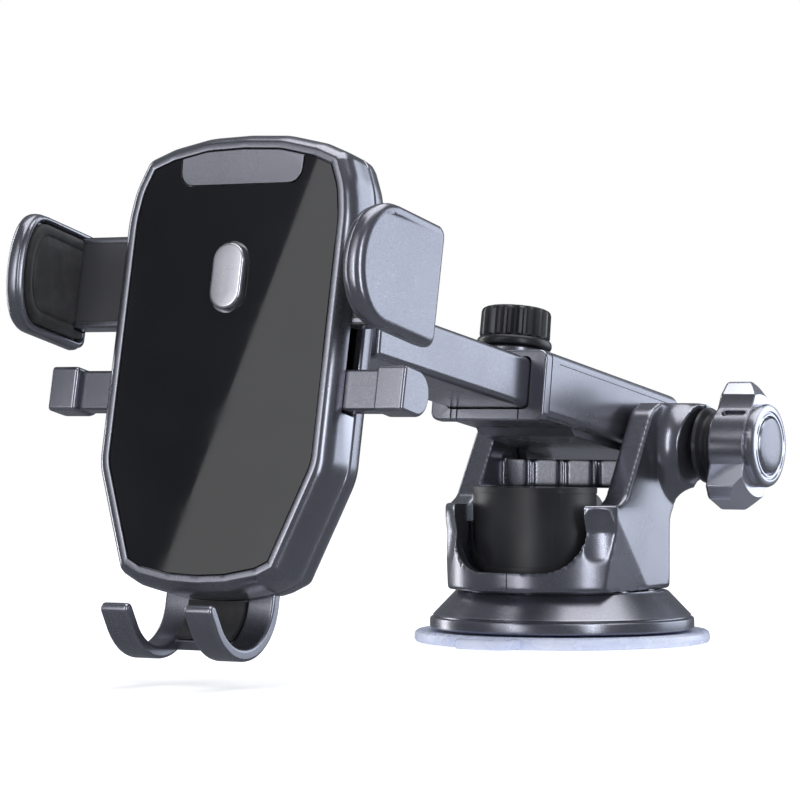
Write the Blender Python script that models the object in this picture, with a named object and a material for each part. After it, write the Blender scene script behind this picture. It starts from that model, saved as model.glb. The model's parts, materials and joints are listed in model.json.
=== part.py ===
"""A dashboard phone mount: a suction base, a telescopic arm and a spring-jaw phone holder.

Frame: +Z up, -Y towards the driver and the phone holder, X along the arm's hinge.
The origin is the centre of the suction disc's underside.
Every number in a design function is in millimetres, and MM turns it into metres.
"""

from math import atan2, cos, pi, radians, sin

import bmesh
import bpy
from mathutils import Matrix, Vector

MM = 0.001
GAP = 0.3  # clearance kept between neighbouring pieces

# Base
DISC_R = 40.0
SKIRT_R = 35.8
SKIRT_NECK_R = 27.2
SKIRT_TOP = 14.1
HOUSING_BOTTOM = 14.4
HOUSING_R = 31.8
HOUSING_HALF_WIDTH = 26.0
HOUSING_BACK = 17.0
DRUM_TOP = 37.5
HOUSING_FLOOR = 17.4
EAR_INNER = 19.5
EAR_TOP = 64.5
LIP_TOP = 19.7

# Hinge of the arm
HINGE_Y = 20.0
HINGE_Z = 53.0
BOSS_R = 11.3
BOSS_END = 33.5
KNOB_START = 38.5
KNOB_END = 52.6
KNOB_R = 11.2
BOLT_R = 2.6

# Suction lock
PIN_Z = 31.0
PLATE_TOP = 18.9
LEVER_SWING = radians(35)
STEM_TRAVEL = 2.0
CAM_R = 11.3
FLAP_R = 24.5

# Arm
ARM_PITCH = radians(-9)
ARM_HALF_WIDTH = 16.75
ARM_LOW = -4.9
ARM_HIGH = 15.8
ARM_FRONT = -60.0
ARM_BACK = 21.0
COLLAR_FRONT = -63.5
INNER_HALF_WIDTH = 12.0
INNER_LOW = 0.35
INNER_HIGH = 13.65
INNER_FRONT = -141.0
INNER_BACK = -44.0
LOCK_KNOB_Y = -51.0

# Ball joint
BALL_Y = -156.0
BALL_R = 8.5
BALL_DEPTH = 35.4  # behind the holder's front face
BALL_RISE = 15.3  # above the holder's centre

# Phone holder
HEAD_TILT = radians(-12)
HEAD_HALF_WIDTH = 31.75
BEZEL_DEPTH = 10.2
SHELL_BACK = 20.0
WALL = 2.0
PINION_Z = 19.5
PITCH_R = 5.0
TEETH = 10
BUTTON_Z = 19.5
ARM_FACE = 4.6
ARM_REAR = 9.8
JAW_GAP = 46.0
JAW_OUTER = 51.5
HOOK_HIGH = -2.0
HOOK_LOW = -13.4
FOOT_HALF_WIDTH = 15.0


def clear_scene():
    for old in list(bpy.data.objects):
        bpy.data.objects.remove(old)


def make_material(name, colour, roughness, metallic):
    made = bpy.data.materials.new(name)
    made.use_nodes = True
    shader = made.node_tree.nodes["Principled BSDF"]
    shader.inputs["Base Color"].default_value = (*colour, 1.0)
    shader.inputs["Roughness"].default_value = roughness
    shader.inputs["Metallic"].default_value = metallic
    made.diffuse_color = (*colour, 1.0)
    return made


def make_frame(name, location, tilt=0.0, parent=None):
    """An empty that holds a group of pieces; location in millimetres, tilt about X."""
    frame = bpy.data.objects.new(name, None)
    bpy.context.collection.objects.link(frame)
    frame.location = Vector(location) * MM
    frame.rotation_euler = (tilt, 0.0, 0.0)
    frame.parent = parent
    return frame


def finish_mesh(name, bm, look, parent=None, location=(0, 0, 0), smooth=True):
    """Turns a bmesh in millimetres into an object in metres."""
    bmesh.ops.recalc_face_normals(bm, faces=bm.faces)
    bmesh.ops.scale(bm, vec=(MM, MM, MM), verts=bm.verts)
    mesh = bpy.data.meshes.new(name)
    bm.to_mesh(mesh)
    bm.free()
    if smooth:
        mesh.shade_smooth()
        mesh.set_sharp_from_angle(angle=radians(30))
    if look:
        mesh.materials.append(look)
    made = bpy.data.objects.new(name, mesh)
    bpy.context.collection.objects.link(made)
    made.parent = parent
    made.location = Vector(location) * MM
    return made


def arc(centre, radius, start, end, steps):
    """Points along an arc, angles in degrees."""
    angles = [radians(start + (end - start) * i / steps) for i in range(steps + 1)]
    return [(centre[0] + radius * cos(a), centre[1] + radius * sin(a)) for a in angles]


def rounded_rectangle(low, high, radius, steps=3):
    (x0, y0), (x1, y1) = low, high
    corners = [
        ((x1 - radius, y0 + radius), -90),
        ((x1 - radius, y1 - radius), 0),
        ((x0 + radius, y1 - radius), 90),
        ((x0 + radius, y0 + radius), 180),
    ]
    return [p for centre, start in corners for p in arc(centre, radius, start, start + 90, steps)]


def pill(half_width, half_height, centre_z=0.0, steps=10):
    reach = half_height - half_width
    top = arc((0, centre_z + reach), half_width, 0, 180, steps)
    return top + arc((0, centre_z - reach), half_width, 180, 360, steps)


def inset(outline, distance):
    """A convex outline moved inwards by a distance, whichever way round it runs."""
    count = len(outline)
    area = sum(
        outline[i - 1][0] * outline[i][1] - outline[i][0] * outline[i - 1][1] for i in range(count)
    )
    side = distance if area > 0 else -distance
    moved = []
    for i in range(count):
        (ax, ay), (bx, by), (cx, cy) = outline[i - 1], outline[i], outline[(i + 1) % count]
        first, second = atan2(by - ay, bx - ax), atan2(cy - by, cx - bx)
        middle = first + ((second - first + pi) % (2 * pi) - pi) / 2
        reach = side / cos(middle - first)
        moved.append((bx - reach * sin(middle), by + reach * cos(middle)))
    return moved


def prism(outline, low, high, axis):
    """Extrudes an outline along X (y, z points), Y (x, z points) or Z (x, y points)."""
    lift = {
        "X": lambda p, h: (h, p[0], p[1]),
        "Y": lambda p, h: (p[0], h, p[1]),
        "Z": lambda p, h: (p[0], p[1], h),
    }[axis]
    bm = bmesh.new()
    rings = [[bm.verts.new(lift(p, h)) for p in outline] for h in (low, high)]
    count = len(outline)
    for i in range(count):
        j = (i + 1) % count
        bm.faces.new((rings[0][i], rings[0][j], rings[1][j], rings[1][i]))
    bm.faces.new(rings[0])
    bm.faces.new(rings[1])
    return bm


def stacked(rings):
    """Closes a solid from outlines of equal length, each with its own height along Y."""
    bm = bmesh.new()
    made = [[bm.verts.new((x, depth, z)) for x, z in outline] for depth, outline in rings]
    count = len(made[0])
    for lower, upper in zip(made, made[1:]):
        for i in range(count):
            j = (i + 1) % count
            bm.faces.new((lower[i], lower[j], upper[j], upper[i]))
    bm.faces.new(made[0])
    bm.faces.new(made[-1])
    return bm


def box(low, high):
    x0, y0, z0 = low
    x1, y1, z1 = high
    return prism([(x0, y0), (x1, y0), (x1, y1), (x0, y1)], z0, z1, "Z")


def turned(profile, axis="Z", segments=40, closed=False):
    """Revolves (radius, height) points; an open profile starts and ends on the axis."""
    bm = bmesh.new()
    turn = {
        "X": Matrix.Rotation(pi / 2, 4, "Y"),
        "Y": Matrix.Rotation(-pi / 2, 4, "X"),
        "Z": Matrix.Identity(4),
    }[axis]
    rings = []
    for radius, height in profile:
        if radius == 0:
            rings.append([bm.verts.new((0, 0, height))] * segments)
            continue
        angles = [2 * pi * i / segments for i in range(segments)]
        rings.append([bm.verts.new((radius * cos(a), radius * sin(a), height)) for a in angles])
    pairs = list(zip(rings, rings[1:]))
    if closed:
        pairs.append((rings[-1], rings[0]))
    for first, second in pairs:
        for i in range(segments):
            j = (i + 1) % segments
            corners = [first[i], first[j], second[j], second[i]]
            bm.faces.new(list(dict.fromkeys(corners)))
    bmesh.ops.transform(bm, matrix=turn, verts=bm.verts)
    return bm


def rod(radius, low, high, axis="Z", segments=20):
    return turned([(0, low), (radius, low), (radius, high), (0, high)], axis, segments)


def coil(radius, wire, low, high, turns, axis="Z", steps=10, sides=6):
    """A round wire wound into a helix between two heights."""
    bm = bmesh.new()
    turn = {
        "X": Matrix.Rotation(pi / 2, 4, "Y"),
        "Y": Matrix.Rotation(-pi / 2, 4, "X"),
        "Z": Matrix.Identity(4),
    }[axis]
    count = turns * steps
    rise = high - low - 2 * wire
    rings = []
    for i in range(count + 1):
        a = 2 * pi * i / steps
        ring = []
        for k in range(sides):
            b = 2 * pi * k / sides
            reach = radius + wire * cos(b)
            height = low + wire + rise * i / count + wire * sin(b)
            ring.append(bm.verts.new((reach * cos(a), reach * sin(a), height)))
        rings.append(ring)
    for first, second in zip(rings, rings[1:]):
        for k in range(sides):
            n = (k + 1) % sides
            bm.faces.new((first[k], first[n], second[n], second[k]))
    bm.faces.new(rings[0])
    bm.faces.new(rings[-1])
    bmesh.ops.transform(bm, matrix=turn, verts=bm.verts)
    return bm


def shifted(bm, offset):
    bmesh.ops.translate(bm, vec=offset, verts=bm.verts)
    return bm


def change(piece, bm, operation):
    """Joins, cuts or keeps a shape with a Boolean; the tool shape is a hidden helper."""
    order = len(piece.modifiers)
    tool = finish_mesh(f"tool_{piece.name}_{order}", bm, None, piece, smooth=False)
    tool.hide_render = True
    tool.display_type = "WIRE"
    step = piece.modifiers.new(f"{operation.lower()}_{order}", "BOOLEAN")
    step.operation = operation
    step.object = tool


def cut(piece, bm):
    change(piece, bm, "DIFFERENCE")


def join(piece, bm):
    change(piece, bm, "UNION")


def soften(piece, width, segments=2):
    """Rounds the sharp edges of a piece, width in millimetres."""
    step = piece.modifiers.new("rounded_edges", "BEVEL")
    step.width = width * MM
    step.segments = segments
    step.limit_method = "ANGLE"
    step.angle_limit = radians(40)
    step.use_clamp_overlap = True


def pan_head_screw(name, look, head_r, head_h, shank_r, length, axis, parent, location):
    """A screw with a slot across its head; the head's top is at 0 and the shank runs up."""
    profile = [
        (0, 0),
        (head_r * 0.8, 0),
        (head_r, head_h * 0.4),
        (head_r, head_h),
        (shank_r, head_h),
        (shank_r, length),
        (0, length),
    ]
    screw = finish_mesh(name, turned(profile, axis, 10), look, parent, location)
    slot = {
        "Y": ((-head_r * 0.7, -1, -0.4), (head_r * 0.7, head_h * 0.4, 0.4)),
        "Z": ((-head_r * 0.7, -0.4, -1), (head_r * 0.7, 0.4, head_h * 0.4)),
    }[axis]
    cut(screw, box(*slot))
    return screw


# ---------------------------------------------------------------- base


def housing_plan():
    """The drum seen from above: a round front, flat sides and a flat back."""
    front = pi / 2 - atan2((HOUSING_R**2 - HOUSING_HALF_WIDTH**2) ** 0.5, HOUSING_HALF_WIDTH)
    reach = front * 180 / pi
    back_r = 5.0
    edge = HOUSING_HALF_WIDTH - back_r
    return (
        arc((0, 0), HOUSING_R, -90 - reach, -90 + reach, 18)
        + arc((edge, HOUSING_BACK - back_r), back_r, 0, 90, 4)
        + arc((-edge, HOUSING_BACK - back_r), back_r, 90, 180, 4)
    )


def ear_outline():
    """One ear from the side, (y, z) points: from the drum's front up and round the hinge."""
    top = arc((HINGE_Y, HINGE_Z), EAR_TOP - HINGE_Z, 90, -48, 14)
    hollow = arc((26.5, 34.0), 11.0, 92, 165, 5)
    return (
        [(-18, 16), (-18, 37.5), (-12.5, 40.0), (3.0, 61.5), (5.2, 63.6), (8.0, EAR_TOP)]
        + top
        + hollow
        + [(13.5, 34.0), (13.5, 16)]
    )


def make_housing(looks):
    plan = housing_plan()
    housing = finish_mesh(
        "base_housing", prism(plan, HOUSING_BOTTOM, DRUM_TOP, "Z"), looks["gunmetal"]
    )
    for side in (-1, 1):
        inner, outer = side * EAR_INNER, side * (HOUSING_HALF_WIDTH - 0.02)
        ear = prism(ear_outline(), min(inner, outer), max(inner, outer), "X")
        join(housing, ear)
    near = shifted(rod(BOSS_R, EAR_INNER + 1, BOSS_END, "X", 32), (0, HINGE_Y, HINGE_Z))
    join(housing, near)
    far = shifted(rod(BOSS_R, -BOSS_END + 3, -EAR_INNER - 1, "X", 32), (0, HINGE_Y, HINGE_Z))
    join(housing, far)
    # the well between the ears, the lever's window in front and the low wall behind
    cut(housing, box((-EAR_INNER, -28.5, HOUSING_FLOOR), (EAR_INNER, HOUSING_BACK - 3, 70)))
    window = rounded_rectangle((-EAR_INNER, LIP_TOP), (EAR_INNER, 74), 5.0)
    cut(housing, prism(window, -40, -20, "Y"))
    cut(housing, box((-EAR_INNER, 10, 27.5), (EAR_INNER, 40, 70)))
    # the ears' front edges lean back, and are bevelled outwards by as much as they are wide
    lean = Matrix.Translation((0, -12.2, 40)) @ Matrix.Rotation(radians(-35), 4, "X")
    for side in (-1, 1):
        rim = [(side * 20.6, -5.6), (side * 26.2, 0), (side * 40, 0), (side * 40, -5.6)]
        bevel = prism(rim, 2, 82, "Z")
        bmesh.ops.transform(bevel, matrix=lean, verts=bevel.verts)
        cut(housing, bevel)
        scoop = turned([(0, -11), (6.5, -8), (8.5, 0), (6.5, 8), (0, 11)], "Z", 16)
        cut(housing, shifted(scoop, (side * 28.5, -27.5, 31.0)))
    cut(housing, shifted(rod(BOLT_R + GAP, -60, 60, "X"), (0, HINGE_Y, HINGE_Z)))
    cut(housing, rod(4.2, 10, 20, "Z"))
    recess = prism([(y + HINGE_Y, z + HINGE_Z) for y, z in arc((0, 0), 5.6, 0, 300, 5)],
                   -40, -BOSS_END + 3 + 4.6, "X")
    cut(housing, recess)
    for x, y in screw_places():
        cut(housing, shifted(rod(1.7, 10, 24, "Z", 8), (x, y, 0)))


def make_suction(looks):
    outline = arc((0, 0), DISC_R, -78, 258, 56)
    tab = rounded_rectangle((-8, -47.5), (8, -37), 3.0)
    cup = finish_mesh("gel_suction_cup", prism(outline, 0, 3.2, "Z"), looks["gel"])
    join(cup, prism(tab, 0.4, 3.0, "Z"))
    join(cup, rod(12.6, 2, 8.0, "Z", 32))
    cut(cup, rod(9.6, 2.3, 12, "Z", 32))

    skirt_profile = [
        (33.6, 3.6),
        (SKIRT_R, 3.6),
        (SKIRT_R, 6.6),
        (29.0, 13.2),
        (SKIRT_NECK_R, 13.2),
        (SKIRT_NECK_R, SKIRT_TOP),
        (6.0, SKIRT_TOP),
        (6.0, 11.8),
        (26.0, 11.8),
        (33.0, 6.0),
    ]
    skirt = finish_mesh(
        "suction_skirt", turned(skirt_profile, "Z", 40, closed=True), looks["gunmetal"]
    )
    for i, (x, y) in enumerate(screw_places()):
        cut(skirt, shifted(rod(1.7, 10, 16, "Z", 8), (x, y, 0)))
        pan_head_screw(
            f"skirt_screw_{i + 1}", looks["steel"], 2.6, 1.6, 1.3, 13.0, "Z", None, (x, y, 9.9)
        )


def make_stem(looks):
    plate = [(4.6, 17.7), (9.5, 17.7), (9.5, PLATE_TOP), (4.6, PLATE_TOP)]
    finish_mesh("cam_wear_plate", turned(plate, "Z", 28, closed=True), looks["steel"])

    stem_profile = [(0, 4.8), (9.0, 4.8), (9.0, 6.4), (3.6, 6.4), (3.6, 33.6), (2.8, 34.6), (0, 34.6)]
    stem = finish_mesh("lift_stem", turned(stem_profile, "Z", 28), looks["steel"])
    cut(stem, shifted(rod(1.8, -10, 10, "X", 16), (0, 0, PIN_Z)))
    finish_mesh("stem_spring", coil(5.0, 0.55, 6.7, 11.5, 3, "Z", 10, 5), looks["steel"])


def screw_places():
    return [(x, y) for x in (-22.5, 22.5) for y in (-8.0, 8.0)]


def cam_outline():
    """The cam's (y, z) outline: its radius shrinks by the stem's travel over the swing."""
    points = []
    steps = 36
    fall = STEM_TRAVEL / LEVER_SWING
    for i in range(steps):
        a = 2 * pi * i / steps
        past = (a - 3 * pi / 2 + pi) % (2 * pi) - pi
        if past < -radians(50):
            radius = CAM_R - (min(-past, pi) - radians(50)) * 2.2
        elif past < 0:
            radius = CAM_R
        elif past < LEVER_SWING:
            radius = CAM_R - fall * past
        else:
            radius = CAM_R - STEM_TRAVEL - (past - LEVER_SWING) * 1.9
        points.append((radius * cos(a), radius * sin(a)))
    return points


def make_lever(looks):
    frame = make_frame("lever_axis", (0, 0, PIN_Z))
    low, high = -9.4, 11.0
    front = arc((0, 0), FLAP_R, -47, -133, 12)
    back = arc((0, 0), FLAP_R - 2.4, -133, -47, 12)
    lever = finish_mesh("lock_lever", prism(front + back, low, high, "Z"), looks["black"], frame)
    lip = arc((0, 0), FLAP_R + 1.6, -52, -128, 10) + arc((0, 0), FLAP_R - 1.2, -128, -52, 10)
    join(lever, prism(lip, low, low + 1.6, "Z"))
    for side in (-1, 1):
        near, far = sorted((side * 4.2, side * 9.0))
        join(lever, prism(cam_outline(), near, far, "X"))
        arm = [(-22.9, -5.5), (-22.9, 6.5), (-4, 5.5), (-4, -5.0)]
        join(lever, prism(arm, near, far, "X"))
    cut(lever, rod(1.75, -12, 12, "X", 16))
    finish_mesh("lever_pin", rod(1.45, -9.6, 9.6, "X", 16), looks["steel"], frame)


def wing_outline():
    """The clamp knob from its face: a round body with two opposite wings, (y, z) points."""
    points = []
    for turn in (0, 180):
        points += arc((0, 0), KNOB_R, turn - 40, turn + 62, 10)
        a = radians(turn + 96)
        b = radians(turn + 118)
        points += [
            (17.2 * cos(a), 17.2 * sin(a)),
            (17.8 * cos(b), 17.8 * sin(b)),
            (15.2 * cos(radians(turn + 130)), 15.2 * sin(radians(turn + 130))),
        ]
    return points


def make_hinge(looks):
    axis = make_frame("hinge_axis", (0, HINGE_Y, HINGE_Z))
    head_start = -BOSS_END + 3 + 0.4
    head = [(y, z) for y, z in arc((0, 0), 5.2, 0, 300, 5)]
    bolt = finish_mesh("hinge_bolt", prism(head, head_start, head_start + 3.8, "X"),
                       looks["steel"], axis)
    join(bolt, rod(BOLT_R, head_start + 2, KNOB_END - 5.0, "X", 20))
    for name, x in (("far_washer", -EAR_INNER + GAP), ("near_washer", ARM_HALF_WIDTH + GAP)):
        thick = EAR_INNER - ARM_HALF_WIDTH - 2 * GAP
        ring = [(BOLT_R + 0.5, x), (9.0, x), (9.0, x + thick), (BOLT_R + 0.5, x + thick)]
        finish_mesh(f"hinge_{name}", turned(ring, "X", 28, closed=True), looks["black"], axis)
    x0, x1 = BOSS_END + GAP, KNOB_START - GAP
    spacer = [
        (BOLT_R + 0.4, x0),
        (10.2, x0),
        (10.2, x0 + 1.2),
        (8.6, x0 + 1.8),
        (8.6, x1 - 1.4),
        (9.4, x1 - 0.8),
        (9.4, x1),
        (BOLT_R + 0.4, x1),
    ]
    finish_mesh("hinge_spacer", turned(spacer, "X", 24, closed=True), looks["black"], axis)

    wings = KNOB_END - 4.5
    body = finish_mesh("hinge_knob", rod(KNOB_R, KNOB_START, KNOB_END, "X", 36),
                       looks["gunmetal"], axis)
    join(body, prism(wing_outline(), KNOB_START + 0.6, wings, "X"))
    cut(body, rod(BOLT_R + GAP, 30, KNOB_END - 3, "X"))
    nut_hole = prism(arc((0, 0), 5.3, 0, 300, 5), KNOB_START - 1, KNOB_START + 4.8, "X")
    cut(body, nut_hole)
    cut(body, rod(7.9, KNOB_END - 1.2, KNOB_END + 2, "X", 32))
    cap = [(0, KNOB_END - 0.9), (7.5, KNOB_END - 0.9), (7.5, KNOB_END + 0.3), (7.0, KNOB_END + 0.7),
           (0, KNOB_END + 0.9)]
    finish_mesh("hinge_knob_cap", turned(cap, "X", 32), looks["gunmetal"], axis)
    nut = finish_mesh("hinge_nut", prism(arc((0, 0), 4.9, 0, 300, 5), KNOB_START + 0.2,
                                         KNOB_START + 4.4, "X"), looks["steel"], axis)
    cut(nut, rod(BOLT_R + 0.2, 30, 60, "X", 20))


# ---------------------------------------------------------------- arm


def make_arm(looks, arm):
    section = rounded_rectangle((-ARM_HALF_WIDTH, ARM_LOW), (ARM_HALF_WIDTH, ARM_HIGH), 2.4)
    outer = finish_mesh("outer_arm", prism(section, ARM_FRONT, ARM_BACK, "Y"), looks["gunmetal"], arm)
    side_view = [
        (ARM_BACK - 8, ARM_LOW - 1),
        (ARM_BACK + 1, ARM_LOW + 8),
        (ARM_BACK + 1, ARM_HIGH - 8),
        (ARM_BACK - 8, ARM_HIGH + 1),
        (ARM_FRONT - 1, ARM_HIGH + 1),
        (ARM_FRONT - 1, ARM_LOW - 5),
    ]
    change(outer, prism(side_view, -20, 20, "X"), "INTERSECT")
    join(outer, rod(9.4, -ARM_HALF_WIDTH + 0.2, ARM_HALF_WIDTH - 0.2, "X", 32))
    join(outer, shifted(rod(8.8, 12, ARM_HIGH + 2.0, "Z", 32), (0, LOCK_KNOB_Y, 0)))
    bore_low = (-INNER_HALF_WIDTH - GAP, ARM_FRONT - 5, INNER_LOW - GAP)
    bore_high = (INNER_HALF_WIDTH + GAP, -8.0, INNER_HIGH + GAP)
    cut(outer, box(bore_low, bore_high))
    cut(outer, rod(BOLT_R + GAP, -20, 20, "X"))
    cut(outer, shifted(rod(4.4, 12, 15.5, "Z"), (0, LOCK_KNOB_Y, 0)))
    cut(outer, shifted(rod(2.3, 12, 20, "Z"), (0, LOCK_KNOB_Y, 0)))

    collar = finish_mesh("mouth_collar", prism(section, COLLAR_FRONT, ARM_FRONT - GAP, "Y"),
                         looks["gunmetal"], arm)
    cut(collar, box(bore_low, bore_high))
    soften(collar, 0.5, 2)

    knob_frame = make_frame("arm_lock_axis", (0, LOCK_KNOB_Y, 0), parent=arm)
    low = ARM_HIGH + 2.0 + GAP
    flange = [(0, low), (10.0, low), (9.8, low + 2.4), (0, low + 2.4)]
    knob = finish_mesh("arm_lock_knob", turned(flange, "Z", 34), looks["black"], knob_frame)
    flutes = 18
    outline = []
    for i in range(flutes):
        a = 2 * pi * i / flutes
        for share, radius in ((0.0, 9.4), (0.35, 9.4), (0.5, 8.6), (0.85, 8.6)):
            b = a + share * 2 * pi / flutes
            outline.append((radius * cos(b), radius * sin(b)))
    join(knob, prism(outline, low + 1.7, low + 10.6, "Z"))
    cut(knob, rod(2.3, low - 1, low + 6.8, "Z", 14))
    finish_mesh("arm_lock_screw", rod(1.95, 15.6, low + 6.4, "Z", 20), looks["steel"], knob_frame)
    finish_mesh("brake_pad", shifted(rod(4.0, 14.0, 15.2, "Z"), (0, LOCK_KNOB_Y, 0)),
                looks["rubber"], arm)

    section = rounded_rectangle((-INNER_HALF_WIDTH, INNER_LOW), (INNER_HALF_WIDTH, INNER_HIGH), 1.8)
    inner = finish_mesh("inner_arm", prism(section, INNER_FRONT, INNER_BACK, "Y"),
                        looks["gunmetal"], arm)
    soften(inner, 1.0, 2)
    middle = (INNER_LOW + INNER_HIGH) / 2
    cut(inner, box((-INNER_HALF_WIDTH + 2, INNER_FRONT + 4, INNER_LOW + 2),
                   (INNER_HALF_WIDTH - 2, INNER_BACK + 5, INNER_HIGH - 2)))
    cut(inner, shifted(rod(3.3, INNER_FRONT - 5, INNER_FRONT + 8, "Y"), (0, 0, middle)))

    stud_profile = [(0, -BALL_R)]
    stud_profile += [(r, h) for r, h in (
        (BALL_R * sin(radians(t)), -BALL_R * cos(radians(t))) for t in range(18, 150, 18)
    )]
    stud_profile += [(4.2, 7.6), (4.2, 14.6), (3.0, 14.6), (3.0, 26.0), (0, 26.0)]
    ball = make_frame("ball_stud_axis", (0, BALL_Y, middle), parent=arm)
    finish_mesh("ball_stud", turned(stud_profile, "Y", 22), looks["steel"], ball)
    hexagon = arc((0, 0), 4.9, 0, 300, 5)
    nut = finish_mesh("stud_nut", prism(hexagon, 19.4, 23.0, "Y"), looks["steel"], ball)
    cut(nut, rod(3.25, 15, 30, "Y", 20))


# ---------------------------------------------------------------- ball joint


def sphere_band(inner, outer, low, high, steps=4):
    """Closed (radius, height) outline between two spheres, cut at two heights."""
    heights = [low + (high - low) * i / steps for i in range(steps + 1)]
    near = [((inner**2 - h**2) ** 0.5, h) for h in heights]
    far = [((outer**2 - h**2) ** 0.5, h) for h in reversed(heights)]
    return near + far


def make_socket(looks, ball):
    liner = sphere_band(BALL_R + GAP, BALL_R + 1.3, -7.9, -3.9)
    finish_mesh("ball_liner", turned(liner, "Y", 22, closed=True), looks["rubber"], ball)
    rear = sphere_band(BALL_R + GAP, BALL_R + 1.3, 0.3, 3.9, 3)
    finish_mesh("ball_rear_washer", turned(rear, "Y", 22, closed=True), looks["black"], ball)
    front = SHELL_BACK + GAP - BALL_DEPTH
    cavity = BALL_R + 1.3 + GAP
    angles = [radians(a) for a in range(-90, 25, 18)]
    inside = [(cavity * cos(a), cavity * sin(a)) for a in angles if sin(a) * cavity < 4.4]
    socket_profile = (
        [(0, front), (15.5, front), (15.5, front + 2.4), (12.2, front + 2.8), (12.2, 4.4)]
        + [((cavity**2 - 4.4**2) ** 0.5, 4.4)]
        + [(r, h) for r, h in reversed(inside) if r > 0.01]
        + [(0, -cavity)]
    )
    finish_mesh("ball_socket", turned(socket_profile, "Y", 24), looks["black"], ball)
    ring = [(12.5, front + 3.4), (14.4, front + 3.4), (14.4, 6.0), (13.2, 7.2), (9.8, 7.2),
            (9.8, 4.8), (12.5, 4.8)]
    finish_mesh("socket_lock_ring", turned(ring, "Y", 32, closed=True), looks["gunmetal"], ball)


# ---------------------------------------------------------------- phone holder


def head_outline():
    """The holder from the front, (x, z) points: a long shield with an arched top."""
    half = [(9.5, 53.6), (19.0, 51.8), (26.4, 49.2), (28.8, 46.6), (31.0, 39.4),
            (HEAD_HALF_WIDTH, 34.0), (HEAD_HALF_WIDTH, -26.0), (31.0, -29.5), (22.6, -50.0),
            (20.6, -52.2), (17.6, -53.2), (9.0, -54.8)]
    crown, keel = [(0, 54.2)], [(0, -55.3)]
    return crown + half + keel + [(-x, z) for x, z in reversed(half)]


def make_shells(looks, head):
    outline = head_outline()
    bezel = finish_mesh(
        "front_bezel",
        stacked([(0.0, inset(outline, 2.2)), (0.5, inset(outline, 1.0)), (1.8, inset(outline, 0.2)),
                 (3.2, outline), (BEZEL_DEPTH, outline)]),
        looks["gunmetal"], head)
    cut(bezel, prism(inset(outline, 4.0), -2, 1.8, "Y"))
    cut(bezel, prism(inset(outline, WALL), 3.2, 14, "Y"))
    cut(bezel, prism(pill(4.9, 8.8, BUTTON_Z), -2, 5, "Y"))
    for side in (-1, 1):
        for low, high in ((6.7, 29.3), (HOOK_LOW - GAP, HOOK_HIGH + GAP)):
            near, far = sorted((side * 27, side * 36))
            cut(bezel, box((near, ARM_FACE - GAP, low), (far, 14, high)))

    front = BEZEL_DEPTH + GAP
    shell = finish_mesh(
        "rear_shell",
        stacked([(front, outline), (14.5, inset(outline, 0.4)), (18.2, inset(outline, 2.4)),
                 (SHELL_BACK, inset(outline, 5.0))]),
        looks["gunmetal"], head)
    cut(shell, stacked([(8, inset(outline, WALL)), (14, inset(outline, WALL + 0.4)),
                        (18, inset(outline, 5.4))]))
    cut(shell, box((-FOOT_HALF_WIDTH - GAP, 11.2, -70), (FOOT_HALF_WIDTH + GAP, 14.6, -45)))
    for x, z in head_screw_places():
        join(shell, shifted(rod(3.0, front + 0.4, 19, "Y", 10), (x, 0, z)))
        cut(shell, shifted(rod(1.5, 5, 24, "Y", 8), (x, 0, z)))
        cut(shell, shifted(rod(2.6, 18.6, 24, "Y", 10), (x, 0, z)))
        join(bezel, shifted(rod(3.0, 3.0, BEZEL_DEPTH, "Y", 10), (x, 0, z)))
        cut(bezel, shifted(rod(1.5, 4.0, 14, "Y", 8), (x, 0, z)))
    for i, (x, z) in enumerate(head_screw_places()):
        screw = pan_head_screw(f"head_screw_{i + 1}", looks["steel"], 2.2, 1.2, 1.2, 14.0, "Y",
                               head, (x, 19.9, z))
        screw.rotation_euler = (0, 0, pi)

    panel_line = inset(outline, 4.0 + GAP)
    panel = finish_mesh("front_panel", prism(panel_line, 0.3, 1.5, "Y"), looks["glass"], head)
    notch = [(-17.3, 60), (-16.6, 45.5), (-15.0, 43.6), (-12.8, 42.6), (12.8, 42.6), (15.0, 43.6),
             (16.6, 45.5), (17.3, 60)]
    cut(panel, prism(notch, -2, 4, "Y"))
    cut(panel, prism(pill(4.9, 8.8, BUTTON_Z), -2, 5, "Y"))
    top = finish_mesh("top_insert", prism(panel_line, 0.0, 1.5, "Y"), looks["gunmetal"], head)
    change(top, prism([(x * 0.985, z + 0.3) for x, z in notch], -2, 4, "Y"), "INTERSECT")


def head_screw_places():
    return [(x, z) for x in (-20.5, 20.5) for z in (41.0, -36.0)]


def rack_teeth(start, end, root, pointing):
    """Trapezoid teeth along X, (x, z) points of each; root is the tooth's foot."""
    pitch = 2 * pi * PITCH_R / TEETH
    first = int(-start // pitch) * -1
    teeth = []
    for i in range(first - 1, int(end / pitch) + 2):
        x = (i + 0.5) * pitch
        if x - 1.2 < start or x + 1.2 > end:
            continue
        tip = root + pointing * 2.1
        base = root - pointing * 0.4
        teeth.append([(x - 0.95, base), (x + 0.95, base), (x + 0.3, tip), (x - 0.3, tip)])
    return teeth


def gear_outline():
    points = []
    for i in range(TEETH):
        middle = 2 * pi * i / TEETH + pi / 2
        for radius, half in ((3.95, 0.22), (PITCH_R, 0.105), (6.0, 0.05)):
            points.append((radius, middle - half))
        for radius, half in ((6.0, 0.05), (PITCH_R, 0.105), (3.95, 0.22)):
            points.append((radius, middle + half))
    return [(r * cos(a), r * sin(a)) for r, a in points]


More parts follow.
